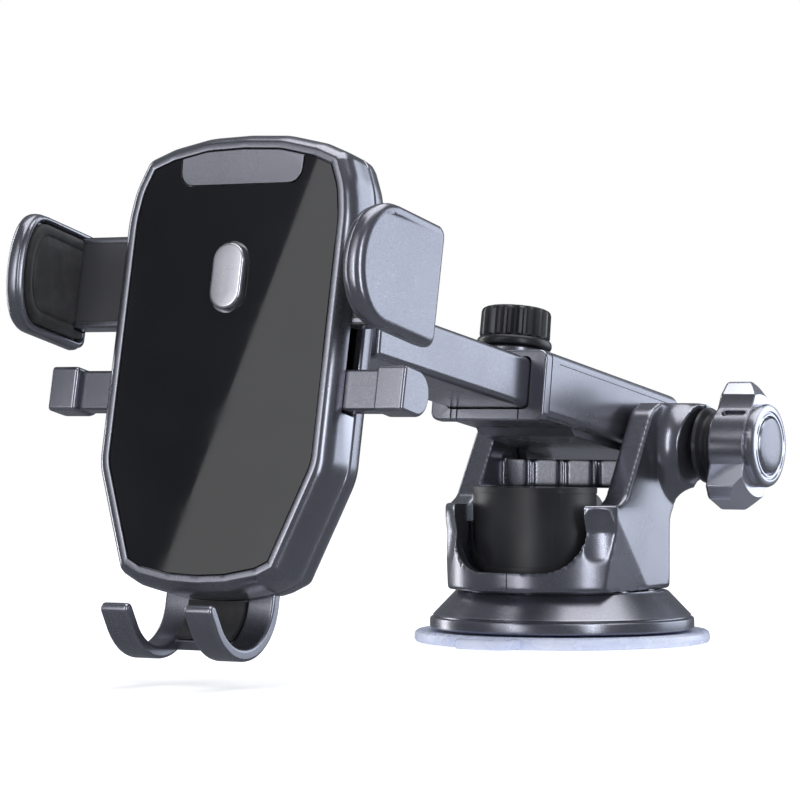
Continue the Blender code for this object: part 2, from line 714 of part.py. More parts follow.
def make_slider(looks, head, side):
    """One jaw's slider: side -1 has its rack above the pinion, side +1 below."""
    word = "left" if side < 0 else "right"
    rack_root = PINION_Z - side * (PITCH_R + 1.3)
    rack_back = rack_root - side * 3.4
    low, high = 7.0, 29.0
    inner_low, inner_high = (15.5, high) if side < 0 else (low, 23.5)

    def span(a, b):
        return sorted((side * a, side * b))

    x0, x1 = span(31.0, JAW_GAP + 1.4)
    slider = finish_mesh(f"{word}_slider", box((x0, ARM_FACE, low), (x1, ARM_REAR, high)),
                         looks["black"], head)
    x0, x1 = span(20.0, 32.0)
    join(slider, box((x0, 5.6, inner_low), (x1, ARM_REAR, inner_high)))
    x0, x1 = span(-6.4, 21.0)
    bar_low, bar_high = sorted((rack_root, rack_back))
    join(slider, box((x0, 6.6, bar_low), (x1, 9.6, bar_high)))
    for tooth in rack_teeth(x0, x1, rack_root, side):
        join(slider, prism(tooth, 6.6, 9.6, "Y"))
    x0, x1 = span(22.2, 26.2)
    join(slider, box((x0, 5.6, HOOK_HIGH + 0.4), (x1, ARM_REAR, high - 2)))

    # jaw: a curved outer plate, and a hooked front rim
    jaw_low, jaw_high = 3.2, 36.8
    plan = jaw_plan(side)
    jaw = finish_mesh(f"{word}_jaw", prism(plan, jaw_low, jaw_high, "Z"), looks["gunmetal"], head)
    face = rounded_face(-24.0, 17.0, jaw_low, jaw_high)
    change(jaw, prism(face, *span(JAW_GAP - 5, JAW_OUTER + 3), "X"), "INTERSECT")
    socket_low, socket_high = span(JAW_GAP - 8, JAW_GAP + 1.7)
    cut(jaw, box((socket_low, ARM_FACE - GAP, low - GAP), (socket_high, ARM_REAR + GAP, high + GAP)))
    soften(jaw, 0.7, 1)
    pad_x = span(JAW_GAP - 1.5, JAW_GAP - GAP)
    pad_outline = rounded_face(-19.0, ARM_FACE - 0.9, jaw_low + 3, jaw_high - 3)
    pad = finish_mesh(f"{word}_jaw_pad", prism(pad_outline, *pad_x, "X"), looks["rubber"], head)
    soften(pad, 0.4, 1)

    block = [
        (side * 22.2, ARM_FACE),
        (side * 39.0, ARM_FACE),
        (side * 39.0, -4.4),
        (side * 47.0, -4.4),
        (side * 47.0, ARM_REAR + 1.6),
        (side * 39.0, ARM_REAR + 1.6),
        (side * 39.0, ARM_REAR),
        (side * 22.2, ARM_REAR),
    ]
    hook = finish_mesh(f"{word}_lower_hook", prism(block, HOOK_LOW, HOOK_HIGH, "Z"),
                       looks["gunmetal"], head)
    soften(hook, 0.6, 1)


def jaw_plan(side):
    """The jaw from above, (x, y) points: bowed plate whose front edge turns inwards."""
    outer = [(JAW_GAP + 2.0, 17.0), (JAW_OUTER - 0.6, 12.0), (JAW_OUTER, 0.0),
             (JAW_OUTER - 0.2, -12.0), (JAW_OUTER - 1.6, -20.0), (JAW_OUTER - 5.0, -24.0)]
    inner = [(JAW_GAP - 2.0, -24.0), (JAW_GAP - 2.0, -21.6), (JAW_GAP, -18.0), (JAW_GAP, 17.0)]
    return [(side * x, y) for x, y in outer + inner]


def rounded_face(front, back, low, high):
    """A D-shaped face, (y, z) points: bowed towards the front, straight at the back."""
    middle = (low + high) / 2
    bow = 9.0
    half = (high - low) / 2
    points = []
    for i in range(17):
        a = radians(-90 + 180 * i / 16)
        points.append((front + bow - bow * cos(a) ** 0.8, middle + half * sin(a)))
    return points + [(back - 2, high), (back, high - 2), (back, low + 2), (back - 2, low)]


def foot_profile():
    """The foot's hooks from the side, (y, z) points: down, forwards and up again."""
    outer = arc((-2.0, -57.5), 14.2, 0, -168, 18)
    inner = arc((-2.0, -57.5), 11.4, -168, 0, 18)
    return [(12.2, -46.0)] + outer + [(-17.6, -56.0), (-15.6, -55.2)] + inner + [(9.4, -46.0)]


def make_holder(looks, head):
    make_shells(looks, head)
    for side in (-1, 1):
        make_slider(looks, head, side)
    pivot = make_frame("pinion_axis", (0, 0, PINION_Z), parent=head)
    pinion = finish_mesh("pinion_gear", prism(gear_outline(), 6.8, 9.4, "Y"), looks["black"], pivot)
    cut(pinion, rod(2.5, 0, 20, "Y", 20))
    axle = [(0, 17.6), (4.0, 17.6), (4.0, 14.0), (2.2, 14.0), (2.2, 6.4), (1.7, 6.4), (1.7, 15.0),
            (0, 15.0)]
    finish_mesh("pinion_axle", turned(axle, "Y", 20), looks["steel"], pivot)

    button = finish_mesh("release_button", prism(pill(4.4, 8.3), -1.4, 3.6, "Y"),
                         looks["silver"], pivot)
    soften(button, 0.6, 2)
    join(button, prism(pill(5.5, 9.6), 3.5, 4.2, "Y"))
    finish_mesh("button_spring", coil(1.1, 0.25, 4.6, 14.6, 5, "Y", 7, 4), looks["steel"], pivot)
    pawl = finish_mesh("ratchet_pawl", box((6.5, 4.5, -3.0), (9.5, 9.2, 3.0)), looks["steel"],
                       pivot)
    soften(pawl, 0.4, 1)
    spring = coil(2.0, 0.45, -15.2, 15.2, 9, "X", 8, 4)
    finish_mesh("clamp_spring", shifted(spring, (0, 8.0, 3.5)), looks["steel"], head)

    width = FOOT_HALF_WIDTH
    foot = finish_mesh("support_foot", box((-width, 11.6, -56), (width, 14.2, -20)),
                       looks["gunmetal"], head)
    return foot


def make_foot(looks, foot):
    width = FOOT_HALF_WIDTH
    hook = 6.6
    for low, high in ((-width, -width + hook), (width - hook, width)):
        bm = prism(foot_profile(), low, high, "X")
        join(foot, shifted(bm, (0, 2.0, 0)))
    web = arc((0.0, -57.5), 14.2, 0, -42, 5) + arc((0.0, -57.5), 11.4, -42, 0, 5)
    join(foot, prism(web, -width + 1, width - 1, "X"))
    line = arc((0.0, -57.5), 11.1, 0, -40, 4) + arc((0.0, -57.5), 10.2, -40, 0, 4)
    line += [(10.2, -56.2), (11.1, -56.2)]
    reach = width - hook - 0.6
    finish_mesh("foot_pad", prism(line, -reach, reach, "X"), looks["rubber"], foot.parent)


def main():
    clear_scene()
    looks = {
        "gunmetal": make_material("gunmetal_plastic", (0.20, 0.20, 0.24), 0.32, 0.75),
        "black": make_material("black_plastic", (0.02, 0.02, 0.022), 0.38, 0.0),
        "glass": make_material("black_gloss_panel", (0.008, 0.008, 0.01), 0.06, 0.0),
        "rubber": make_material("black_rubber", (0.015, 0.015, 0.017), 0.62, 0.0),
        "silver": make_material("silver_plastic", (0.50, 0.50, 0.54), 0.28, 0.85),
        "steel": make_material("zinc_plated_steel", (0.55, 0.55, 0.56), 0.30, 1.0),
        "gel": make_material("clear_gel", (0.80, 0.84, 0.95), 0.25, 0.0),
    }
    make_housing(looks)
    make_suction(looks)
    make_stem(looks)
    make_lever(looks)
    make_hinge(looks)
    arm = make_frame("arm_axis", (0, HINGE_Y, HINGE_Z), ARM_PITCH)
    make_arm(looks, arm)
    middle = (INNER_LOW + INNER_HIGH) / 2
    ball_point = (Matrix.Rotation(ARM_PITCH, 3, "X") @ Vector((0, BALL_Y, middle))) + Vector(
        (0, HINGE_Y, HINGE_Z)
    )
    ball = make_frame("ball_centre", ball_point, HEAD_TILT)
    make_socket(looks, ball)
    head = make_frame("holder_frame", (0, -BALL_DEPTH, -BALL_RISE), 0.0, ball)
    foot = make_holder(looks, head)
    make_foot(looks, foot)


main()
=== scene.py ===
"""The finished look of a dashboard phone mount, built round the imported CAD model.

Every piece is drawn in millimetres in one of four frames (the base, the arm, the ball and the
holder), and MM turns it into metres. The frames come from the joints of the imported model.
"""

import json
from math import atan2, cos, pi, radians, sin, tan

import bmesh
import bpy
from mathutils import Matrix, Vector


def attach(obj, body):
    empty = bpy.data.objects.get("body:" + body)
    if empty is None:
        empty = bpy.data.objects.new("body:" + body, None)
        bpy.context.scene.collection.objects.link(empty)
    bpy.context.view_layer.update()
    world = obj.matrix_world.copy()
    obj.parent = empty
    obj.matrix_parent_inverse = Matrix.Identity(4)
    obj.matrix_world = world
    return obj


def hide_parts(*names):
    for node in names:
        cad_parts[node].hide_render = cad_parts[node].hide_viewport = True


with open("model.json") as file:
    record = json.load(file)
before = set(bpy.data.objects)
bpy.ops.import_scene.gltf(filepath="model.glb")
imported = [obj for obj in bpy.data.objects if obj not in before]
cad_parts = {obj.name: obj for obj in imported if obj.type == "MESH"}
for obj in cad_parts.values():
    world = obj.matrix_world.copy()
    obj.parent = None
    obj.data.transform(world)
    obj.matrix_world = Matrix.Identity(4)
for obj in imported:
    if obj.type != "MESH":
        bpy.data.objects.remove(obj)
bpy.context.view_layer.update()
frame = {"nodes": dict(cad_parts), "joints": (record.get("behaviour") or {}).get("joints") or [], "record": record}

MM = 0.001
GAP = 0.3  # the CAD's clearance round a piece that slides or fits in a hole
BOLT_HOLE_R = 2.9
LOCK_SCREW_HOLE_R = 2.3
SIDES = ((-1, "left"), (1, "right"))

# ---------------------------------------------------------------- frames

JOINTS = {joint["name"]: joint for joint in frame["joints"]}
HOLDER_FROM_BALL = Vector((0.0, -35.4, -15.3))  # the holder's front centre, from the ball


def placed(origin, along):
    """A frame with its origin there, Y along that axis and X along the model's X."""
    y = Vector(along).normalized()
    x = Vector((1.0, 0.0, 0.0))
    made = Matrix((x, y, x.cross(y))).transposed().to_4x4()
    made.translation = Vector(origin)
    return made


BASE = Matrix.Identity(4)
ARM = placed(JOINTS["arm_tilt"]["pos_m"], -Vector(JOINTS["arm_extend"]["axis"]))
BALL = placed(JOINTS["ball_roll"]["pos_m"], JOINTS["ball_roll"]["axis"])
HOLDER = BALL @ Matrix.Translation(HOLDER_FROM_BALL * MM)
HINGE = Vector(JOINTS["arm_tilt"]["pos_m"]) / MM
AT_HINGE = Matrix.Translation((0, HINGE.y * MM, HINGE.z * MM))


def local_box(node, place):
    """(lowest, highest) corner of a CAD node in a frame, in millimetres."""
    back = place.inverted()
    points = [back @ vertex.co / MM for vertex in frame["nodes"][node].data.vertices]
    low = Vector([min(p[i] for p in points) for i in range(3)])
    high = Vector([max(p[i] for p in points) for i in range(3)])
    return low, high


def span(side, first, second):
    """Two distances from the middle, on that side of it, lowest first."""
    return sorted((side * first, side * second))


# ---------------------------------------------------------------- outlines


def arc(centre, radius, start, end, steps):
    """Points along an arc, angles in degrees."""
    angles = [radians(start + (end - start) * i / steps) for i in range(steps + 1)]
    return [(centre[0] + radius * cos(a), centre[1] + radius * sin(a)) for a in angles]


def rounded(corners, radius, steps=6):
    """A polygon with filleted corners; a corner may give its own radius as a third number."""
    outline = []
    count = len(corners)
    for i in range(count):
        here = Vector(corners[i][:2])
        reach = corners[i][2] if len(corners[i]) > 2 else radius
        before = Vector(corners[i - 1][:2]) - here
        after = Vector(corners[(i + 1) % count][:2]) - here
        angle = before.angle(after)
        if reach <= 0 or angle > radians(178):
            outline.append(tuple(here))
            continue
        back = min(reach / tan(angle / 2), 0.49 * before.length, 0.49 * after.length)
        reach = back * tan(angle / 2)
        middle = here + (before.normalized() + after.normalized()).normalized() * (
            reach / sin(angle / 2)
        )
        first = here + before.normalized() * back - middle
        last = here + after.normalized() * back - middle
        turn = first.angle_signed(last)
        start = atan2(first.y, first.x)
        for k in range(steps + 1):
            a = start - turn * k / steps
            outline.append((middle.x + reach * cos(a), middle.y + reach * sin(a)))
    return outline


def rectangle(low, high, radius, steps=6):
    (x0, y0), (x1, y1) = low, high
    return rounded([(x1, y0), (x1, y1), (x0, y1), (x0, y0)], radius, steps)


def fluted(reach, depth, flutes, steps, sharpness):
    """A circle with flutes that bite in by a depth, drawn in so many steps each."""
    around = flutes * steps
    outline = []
    for i in range(around):
        a = 2 * pi * i / around
        wave = max(-1.0, min(1.0, sharpness * cos(flutes * a)))
        r = reach - depth * (1 - wave) / 2
        outline.append((r * cos(a), r * sin(a)))
    return outline


def pill(half_width, half_height, centre_z=0.0, steps=24):
    reach = half_height - half_width
    top = arc((0, centre_z + reach), half_width, 0, 180, steps)
    return top + arc((0, centre_z - reach), half_width, 180, 360, steps)


def inset(outline, distance):
    """An outline moved inwards by a distance, whichever way round it runs."""
    count = len(outline)
    area = sum(
        outline[i - 1][0] * outline[i][1] - outline[i][0] * outline[i - 1][1] for i in range(count)
    )
    side = distance if area > 0 else -distance
    moved = []
    for i in range(count):
        (ax, ay), (bx, by), (cx, cy) = outline[i - 1], outline[i], outline[(i + 1) % count]
        first = atan2(by - ay, bx - ax)
        second = atan2(cy - by, cx - bx)
        middle = first + ((second - first + pi) % (2 * pi) - pi) / 2
        reach = side / cos(middle - first)
        moved.append((bx - reach * sin(middle), by + reach * cos(middle)))
    return moved


# ---------------------------------------------------------------- solids

LIFT = {
    "X": lambda p, h: (h, p[0], p[1]),
    "Y": lambda p, h: (p[0], h, p[1]),
    "Z": lambda p, h: (p[0], p[1], h),
}
TURN = {
    "X": Matrix.Rotation(pi / 2, 4, "Y"),
    "Y": Matrix.Rotation(-pi / 2, 4, "X"),
    "Z": Matrix.Identity(4),
}


def shrunk(outline, distance):
    """A plain outline moved inwards, or the one that a function of the distance gives."""
    return outline(distance) if callable(outline) else inset(outline, distance)


def loft(rings, closed=False):
    """A solid through rings of equal length: capped at its ends, or closed back on itself."""
    bm = bmesh.new()
    made = [[bm.verts.new(p) for p in ring] for ring in rings]
    count = len(made[0])
    for lower, upper in zip(made, made[1:] + made[:1] if closed else made[1:]):
        for i in range(count):
            j = (i + 1) % count
            bm.faces.new((lower[i], lower[j], upper[j], upper[i]))
    if not closed:
        bm.faces.new(made[0])
        bm.faces.new(made[-1])
    return bm


def layered(outline, axis, levels):
    """A loft of one outline at (height, inset) levels."""
    return loft([[LIFT[axis](p, h) for p in shrunk(outline, d)] for h, d in levels])


def prism(outline, low, high, axis):
    return loft([[LIFT[axis](p, h) for p in outline] for h in (low, high)])


def pillow(outline, low, high, axis, low_r=0.5, high_r=0.5, steps=4):
    """A prism with rounded rims of the given radii at its two ends."""
    quarter = [pi / 2 * i / steps for i in range(steps + 1)]
    levels = [(low + low_r * (1 - cos(a)), low_r * (1 - sin(a))) for a in quarter]
    levels += [
        (high - high_r * (1 - cos(a)), high_r * (1 - sin(a))) for a in reversed(quarter)
    ]
    return layered(outline, axis, levels)


def box(low, high):
    return prism([(low[0], low[1]), (high[0], low[1]), (high[0], high[1]), (low[0], high[1])],
                 low[2], high[2], "Z")


def turned(profile, axis="Z", segments=96, closed=False):
    """Revolves (radius, height) points; an open profile starts and ends on the axis."""
    bm = bmesh.new()
    rings = []
    for radius, height in profile:
        if radius < 1e-6:
            rings.append([bm.verts.new((0, 0, height))] * segments)
            continue
        angles = [2 * pi * i / segments for i in range(segments)]
        rings.append([bm.verts.new((radius * cos(a), radius * sin(a), height)) for a in angles])
    pairs = list(zip(rings, rings[1:]))
    if closed:
        pairs.append((rings[-1], rings[0]))
    for first, second in pairs:
        for i in range(segments):
            j = (i + 1) % segments
            bm.faces.new(list(dict.fromkeys([first[i], first[j], second[j], second[i]])))
    bmesh.ops.transform(bm, matrix=TURN[axis], verts=bm.verts)
    return bm


def beyond(first, second, third, inside):
    """A block that covers the far side of a plane through three points, seen from a point."""
    normal = (second - first).cross(third - first).normalized()
    if normal.dot(inside - first) > 0:
        normal = -normal
    bm = box((-60, -60, 0), (60, 60, 60))
    turn = normal.to_track_quat("Z", "Y").to_matrix().to_4x4()
    bmesh.ops.transform(bm, matrix=Matrix.Translation(first) @ turn, verts=bm.verts)
    return bm


def rod(radius, low, high, axis="Z", segments=64):
    return turned([(0, low), (radius, low), (radius, high), (0, high)], axis, segments)


def shifted(bm, offset):
    bmesh.ops.translate(bm, vec=offset, verts=bm.verts)
    return bm


def at_hinge(bm):
    return shifted(bm, (0, HINGE.y, HINGE.z))


def bare(name, bm):
    """An object in millimetres with no material yet."""
    bmesh.ops.recalc_face_normals(bm, faces=bm.faces)
    mesh = bpy.data.meshes.new(name)
    bm.to_mesh(mesh)
    bm.free()
    made = bpy.data.objects.new(name, mesh)
    bpy.context.scene.collection.objects.link(made)
    return made


def bake(piece):
    """Applies a piece's modifiers to its mesh."""
    graph = bpy.context.evaluated_depsgraph_get()
    mesh = bpy.data.meshes.new_from_object(piece.evaluated_get(graph))
    piece.modifiers.clear()
    old = piece.data
    piece.data = mesh
    bpy.data.meshes.remove(old)


def change(piece, bm, operation):
    tool = bare("tool", bm)
    step = piece.modifiers.new("change", "BOOLEAN")
    step.operation = operation
    step.object = tool
    bake(piece)
    bpy.data.objects.remove(tool)


def cut(piece, *shapes):
    for bm in shapes:
        change(piece, bm, "DIFFERENCE")


def join(piece, *shapes):
    for bm in shapes:
        change(piece, bm, "UNION")


def keep(piece, *shapes):
    for bm in shapes:
        change(piece, bm, "INTERSECT")


def merge(piece, other):
    """Joins another object to a piece, and takes it out of the scene."""
    bm = bmesh.new()
    bm.from_mesh(other.data)
    bpy.data.objects.remove(other)
    join(piece, bm)


def soften(piece, width, segments=3, angle=35):
    """Rounds a piece's sharp edges."""
    step = piece.modifiers.new("soften", "BEVEL")
    step.width = width
    step.segments = segments
    step.limit_method = "ANGLE"
    step.angle_limit = radians(angle)
    step.use_clamp_overlap = True
    bake(piece)


def mould(piece, voxel, rounds, share):
    """Melts a piece's edges together like a moulding, then thins its mesh to a share."""
    step = piece.modifiers.new("mould", "REMESH")
    step.mode = "VOXEL"
    step.voxel_size = voxel
    even = piece.modifiers.new("even", "SMOOTH")
    even.factor = 0.5
    even.iterations = rounds
    thin = piece.modifiers.new("thin", "DECIMATE")
    thin.ratio = share
    bake(piece)


def finish(piece, place, look, body, *nodes, crease=32):
    mesh = piece.data
    mesh.transform(place @ Matrix.Scale(MM, 4))
    mesh.shade_smooth()
    mesh.set_sharp_from_angle(angle=radians(crease))
    mesh.materials.clear()
    mesh.materials.append(LOOKS[look])
    weigh = piece.modifiers.new("weighted_normals", "WEIGHTED_NORMAL")
    weigh.keep_sharp = True
    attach(piece, body)
    if nodes:
        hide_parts(*nodes)
    return piece


# ---------------------------------------------------------------- materials


def fill(node, values):
    """Sets a node's inputs by name."""
    for name, value in values.items():
        node.inputs[name].default_value = value


class Nodes:
    """A material's node tree with its shader, and short calls that add to it."""

    def __init__(self, name, colour, roughness, metallic=0.0):
        self.material = bpy.data.materials.new(name)
        self.material.use_nodes = True
        self.tree = self.material.node_tree
        self.shader = self.tree.nodes["Principled BSDF"]
        self.shade({"Base Color": (*colour, 1.0), "Roughness": roughness, "Metallic": metallic})
        self.where = self.tree.nodes.new("ShaderNodeTexCoord").outputs["Object"]

    def link(self, out, into):
        self.tree.links.new(out, into)

    def shade(self, values):
        fill(self.shader, values)

    def drive(self, name, out):
        """Lets a socket set one of the shader's inputs."""
        self.link(out, self.shader.inputs[name])

    def noise(self, scale, detail=3.0, roughness=0.5):
        made = self.tree.nodes.new("ShaderNodeTexNoise")
        fill(made, {"Scale": scale, "Detail": detail, "Roughness": roughness})
        self.link(self.where, made.inputs["Vector"])
        return made.outputs["Fac"]

    def cells(self, scale):
        made = self.tree.nodes.new("ShaderNodeTexVoronoi")
        fill(made, {"Scale": scale})
        self.link(self.where, made.inputs["Vector"])
        return made.outputs["Distance"]

    def spread(self, value, low, high, to_low, to_high):
        """Maps a value's range onto another one."""
        made = self.tree.nodes.new("ShaderNodeMapRange")
        fill(made, {"From Min": low, "From Max": high, "To Min": to_low, "To Max": to_high})
        self.link(value, made.inputs["Value"])
        return made.outputs["Result"]

    def mix(self, share, first, second):
        """A colour between two, each a colour or a socket."""
        made = self.tree.nodes.new("ShaderNodeMix")
        made.data_type = "RGBA"
        self.link(share, made.inputs["Factor"])
        for socket, value in (("A", first), ("B", second)):
            target = [s for s in made.inputs if s.name == socket and s.type == "RGBA"][0]
            if isinstance(value, tuple):
                target.default_value = (*value, 1.0)
            else:
                self.link(value, target)
        return [s for s in made.outputs if s.type == "RGBA"][0]

    def edges(self, low=0.53, high=0.62):
        """1 on worn convex edges and 0 elsewhere."""
        made = self.tree.nodes.new("ShaderNodeNewGeometry")
        return self.spread(made.outputs["Pointiness"], low, high, 0.0, 1.0)

    def bump(self, *layers):
        """Adds up (height, depth in metres, strength) layers of fine relief."""
        normal = None
        for height, depth, strength in layers:
            made = self.tree.nodes.new("ShaderNodeBump")
            fill(made, {"Distance": depth, "Strength": strength})
            self.link(height, made.inputs["Height"])
            if normal:
                self.link(normal, made.inputs["Normal"])
            normal = made.outputs["Normal"]
        self.drive("Normal", normal)


def metallic_paint(name, colour, flake_colour, worn_colour, roughness):
    """Satin metallic paint on moulded plastic: fine flakes, soft orange peel, paler edges."""
    look = Nodes(name, colour, roughness, 0.9)
    flakes = look.spread(look.noise(5200.0, 1.0), 0.52, 0.72, 0.0, 1.0)
    tone = look.mix(flakes, colour, flake_colour)
    look.drive("Base Color", look.mix(look.edges(), tone, worn_colour))
    haze = look.spread(look.noise(38.0, 4.0), 0.3, 0.7, roughness - 0.04, roughness + 0.05)
    look.drive("Roughness", haze)
    look.bump((look.noise(420.0, 2.0), 0.000015, 0.12), (look.noise(5200.0, 1.0), 0.000002, 0.2))
    look.shade({"Coat Weight": 0.25, "Coat Roughness": 0.18})
    return look.material


def moulded_plastic(name, colour, roughness):
    """Black moulded plastic with a fine spark-eroded grain and rubbed edges."""
    look = Nodes(name, colour, roughness)
    patches = look.spread(look.noise(60.0, 4.0), 0.3, 0.7, 0.0, 1.0)
    paler = tuple(c * 1.9 + 0.003 for c in colour)
    worn = tuple(c * 3.0 + 0.02 for c in colour)
    tone = look.mix(patches, colour, paler)
    look.drive("Base Color", look.mix(look.edges(0.54, 0.66), tone, worn))
    haze = look.spread(look.noise(45.0, 3.0), 0.3, 0.7, roughness - 0.06, roughness + 0.08)
    look.drive("Roughness", haze)
    grain, ripple = look.noise(3400.0, 3.0, 0.6), look.noise(240.0, 2.0)
    look.bump((grain, 0.000012, 0.45), (ripple, 0.00003, 0.12))
    return look.material


def rubber(name, colour):
    """Soft matte rubber with a pebbled skin and a little dust in it."""
    look = Nodes(name, colour, 0.62)
    dust = look.spread(look.noise(190.0, 5.0, 0.7), 0.45, 0.75, 0.0, 0.6)
    look.drive("Base Color", look.mix(dust, colour, (0.045, 0.045, 0.05)))
    look.drive("Roughness", look.spread(look.noise(90.0), 0.3, 0.7, 0.52, 0.74))
    look.bump((look.cells(2600.0), 0.00003, 0.5))
    look.shade({"Sheen Weight": 0.15})
    return look.material


def gloss_panel(name):
    """High-gloss black acrylic: a hard coat with faint swirls and finger haze."""
    look = Nodes(name, (0.006, 0.006, 0.007), 0.03)
    depth = look.spread(look.noise(30.0, 2.0), 0.3, 0.7, 0.0, 1.0)
    look.drive("Base Color", look.mix(depth, (0.004, 0.004, 0.005), (0.009, 0.009, 0.011)))
    haze = look.spread(look.noise(55.0, 5.0, 0.6), 0.45, 0.8, 0.015, 0.05)
    look.drive("Roughness", haze)
    look.bump((look.noise(14.0, 1.0), 0.00002, 0.05))
    look.shade({"Coat Weight": 0.2, "Coat Roughness": 0.03})
    return look.material


def plated_steel(name):
    """Zinc-plated steel with fine turning marks and dulled patches."""
    look = Nodes(name, (0.6, 0.6, 0.62), 0.28, 1.0)
    patches = look.spread(look.noise(320.0, 4.0), 0.35, 0.7, 0.0, 1.0)
    look.drive("Base Color", look.mix(patches, (0.62, 0.62, 0.64), (0.47, 0.48, 0.52)))
    look.drive("Roughness", look.spread(look.noise(900.0), 0.3, 0.7, 0.2, 0.42))
    look.bump((look.noise(2200.0, 4.0, 0.7), 0.00001, 0.4))
    return look.material


def clear_gel(name):
    """Tacky clear gel: milky blue-white, with wrinkles, tiny bubbles and specks of dust."""
    look = Nodes(name, (0.7, 0.75, 0.9), 0.24)
    milk = look.spread(look.noise(70.0, 4.0, 0.6), 0.3, 0.7, 0.0, 1.0)
    tone = look.mix(milk, (0.60, 0.66, 0.86), (0.76, 0.80, 0.94))
    specks = look.spread(look.cells(240.0), 0.05, 0.11, 1.0, 0.0)
    sparse = look.spread(look.noise(120.0, 2.0), 0.56, 0.6, 0.0, 1.0)
    both = look.tree.nodes.new("ShaderNodeMath")
    both.operation = "MULTIPLY"
    look.link(specks, both.inputs[0])
    look.link(sparse, both.inputs[1])
    look.drive("Base Color", look.mix(both.outputs[0], tone, (0.50, 0.53, 0.66)))
    look.drive("Roughness", look.spread(look.noise(160.0), 0.3, 0.7, 0.14, 0.36))
    look.bump((look.noise(420.0, 5.0, 0.7), 0.00025, 0.5), (look.cells(700.0), 0.00008, 0.25))
    look.shade({"Subsurface Weight": 0.3, "Subsurface Scale": 0.002, "IOR": 1.41})
    look.shade({"Subsurface Radius": (0.8, 0.9, 1.0), "Transmission Weight": 0.08})
    return look.material


LOOKS = {
    "gunmetal": metallic_paint(
        "gunmetal_paint", (0.20, 0.204, 0.235), (0.31, 0.316, 0.365), (0.55, 0.56, 0.63), 0.26
    ),
    "black_plastic": moulded_plastic("black_plastic", (0.012, 0.012, 0.014), 0.34),
    "gloss_panel": gloss_panel("black_gloss_acrylic"),
    "black_rubber": rubber("black_rubber", (0.012, 0.012, 0.013)),
    "silver_plastic": metallic_paint(
        "silver_paint", (0.50, 0.50, 0.54), (0.62, 0.62, 0.67), (0.80, 0.80, 0.85), 0.26
    ),
    "steel": plated_steel("zinc_plated_steel"),
    "clear_gel": clear_gel("clear_gel"),
}

for part in frame["record"]["subparts"]:
    node = frame["nodes"][part["node"]]
    node.data.materials.clear()
    node.data.materials.append(LOOKS[part["material_slot"]])


# ---------------------------------------------------------------- base


def make_gel_disc():
    low, high = local_box("gel_suction_cup", BASE)
    disc_r = high.x
    rim = [(0, 0.0), (disc_r - 1.2, 0.0), (disc_r - 0.4, 0.15), (disc_r, 0.8), (disc_r, 1.9)]
    rim += [(disc_r - 0.25, 2.7), (disc_r - 0.9, 3.15), (disc_r - 1.6, 3.25), (disc_r - 2.4, 3.05)]
    rim += [(disc_r - 3.4, 3.0), (14.2, 3.0), (13.2, 3.6), (12.6, 4.6), (12.6, high.z - 0.5)]
    rim += [(12.1, high.z), (9.9, high.z), (9.6, high.z - 0.4), (9.6, 2.3), (0, 2.3)]
    disc = bare("gel_disc", turned(rim, "Z", 144))
    tab = rectangle((-8.2, low.y), (8.2, -disc_r + 4), 3.4, 8)
    join(disc, pillow(tab, 0.3, 2.9, "Z", 0.7, 0.9))
    for step in (1.6, 3.6, 5.6):
        y = low.y + 1.0 + step
        ridge = rectangle((-6.2, y - 0.45), (6.2, y + 0.45), 0.44, 3)
        join(disc, pillow(ridge, 2.4, 3.35, "Z", 0.1, 0.3, 2))
    finish(disc, BASE, "clear_gel", "base", "gel_suction_cup")


def make_skirt():
    low, high = local_box("suction_skirt", BASE)
    r = high.x
    foot = low.z
    profile = [(33.4, foot), (r - 0.5, foot), (r - 0.1, foot + 0.25), (r, foot + 0.7)]
    profile += [(r, foot + 2.5), (r - 0.1, foot + 2.9), (r - 0.45, foot + 3.2)]
    profile += [(r - 0.95, foot + 3.3), (r - 1.05, foot + 3.55), (r - 0.8, foot + 3.8)]
    profile += [(r - 1.3, foot + 4.3), (28.9, foot + 10.1), (28.3, foot + 10.35)]
    profile += [(27.3, foot + 10.35), (27.0, foot + 10.2), (26.6, foot + 10.0)]
    profile += [(26.5, high.z), (6.0, high.z), (6.0, high.z - 2.3), (26.0, high.z - 2.3)]
    profile += [(33.0, foot + 2.4)]
    skirt = bare("skirt", turned(profile, "Z", 160, closed=True))
    finish(skirt, BASE, "gunmetal", "base", "suction_skirt")


def ear_outline():
    """One ear from the side, (y, z) points."""
    top_r = 11.5
    y, z = HINGE.y, HINGE.z
    crown = arc((y, z), top_r, 84, -50, 20)
    hollow = arc((y + 6.5, z - 19.0), 10.6, 92, 170, 8)
    front = [(-17.2, 17.0), (-17.2, 37.0), (-12.6, 39.4)]
    brow = rounded([(-12.6, 39.4, 0), (2.6, 62.3, 5.0), (8.0, z + top_r, 0), (10.0, 30.0, 0)], 1)
    return front + brow[1:-1] + crown + hollow + [(13.6, 33.0), (13.6, 17.0)]


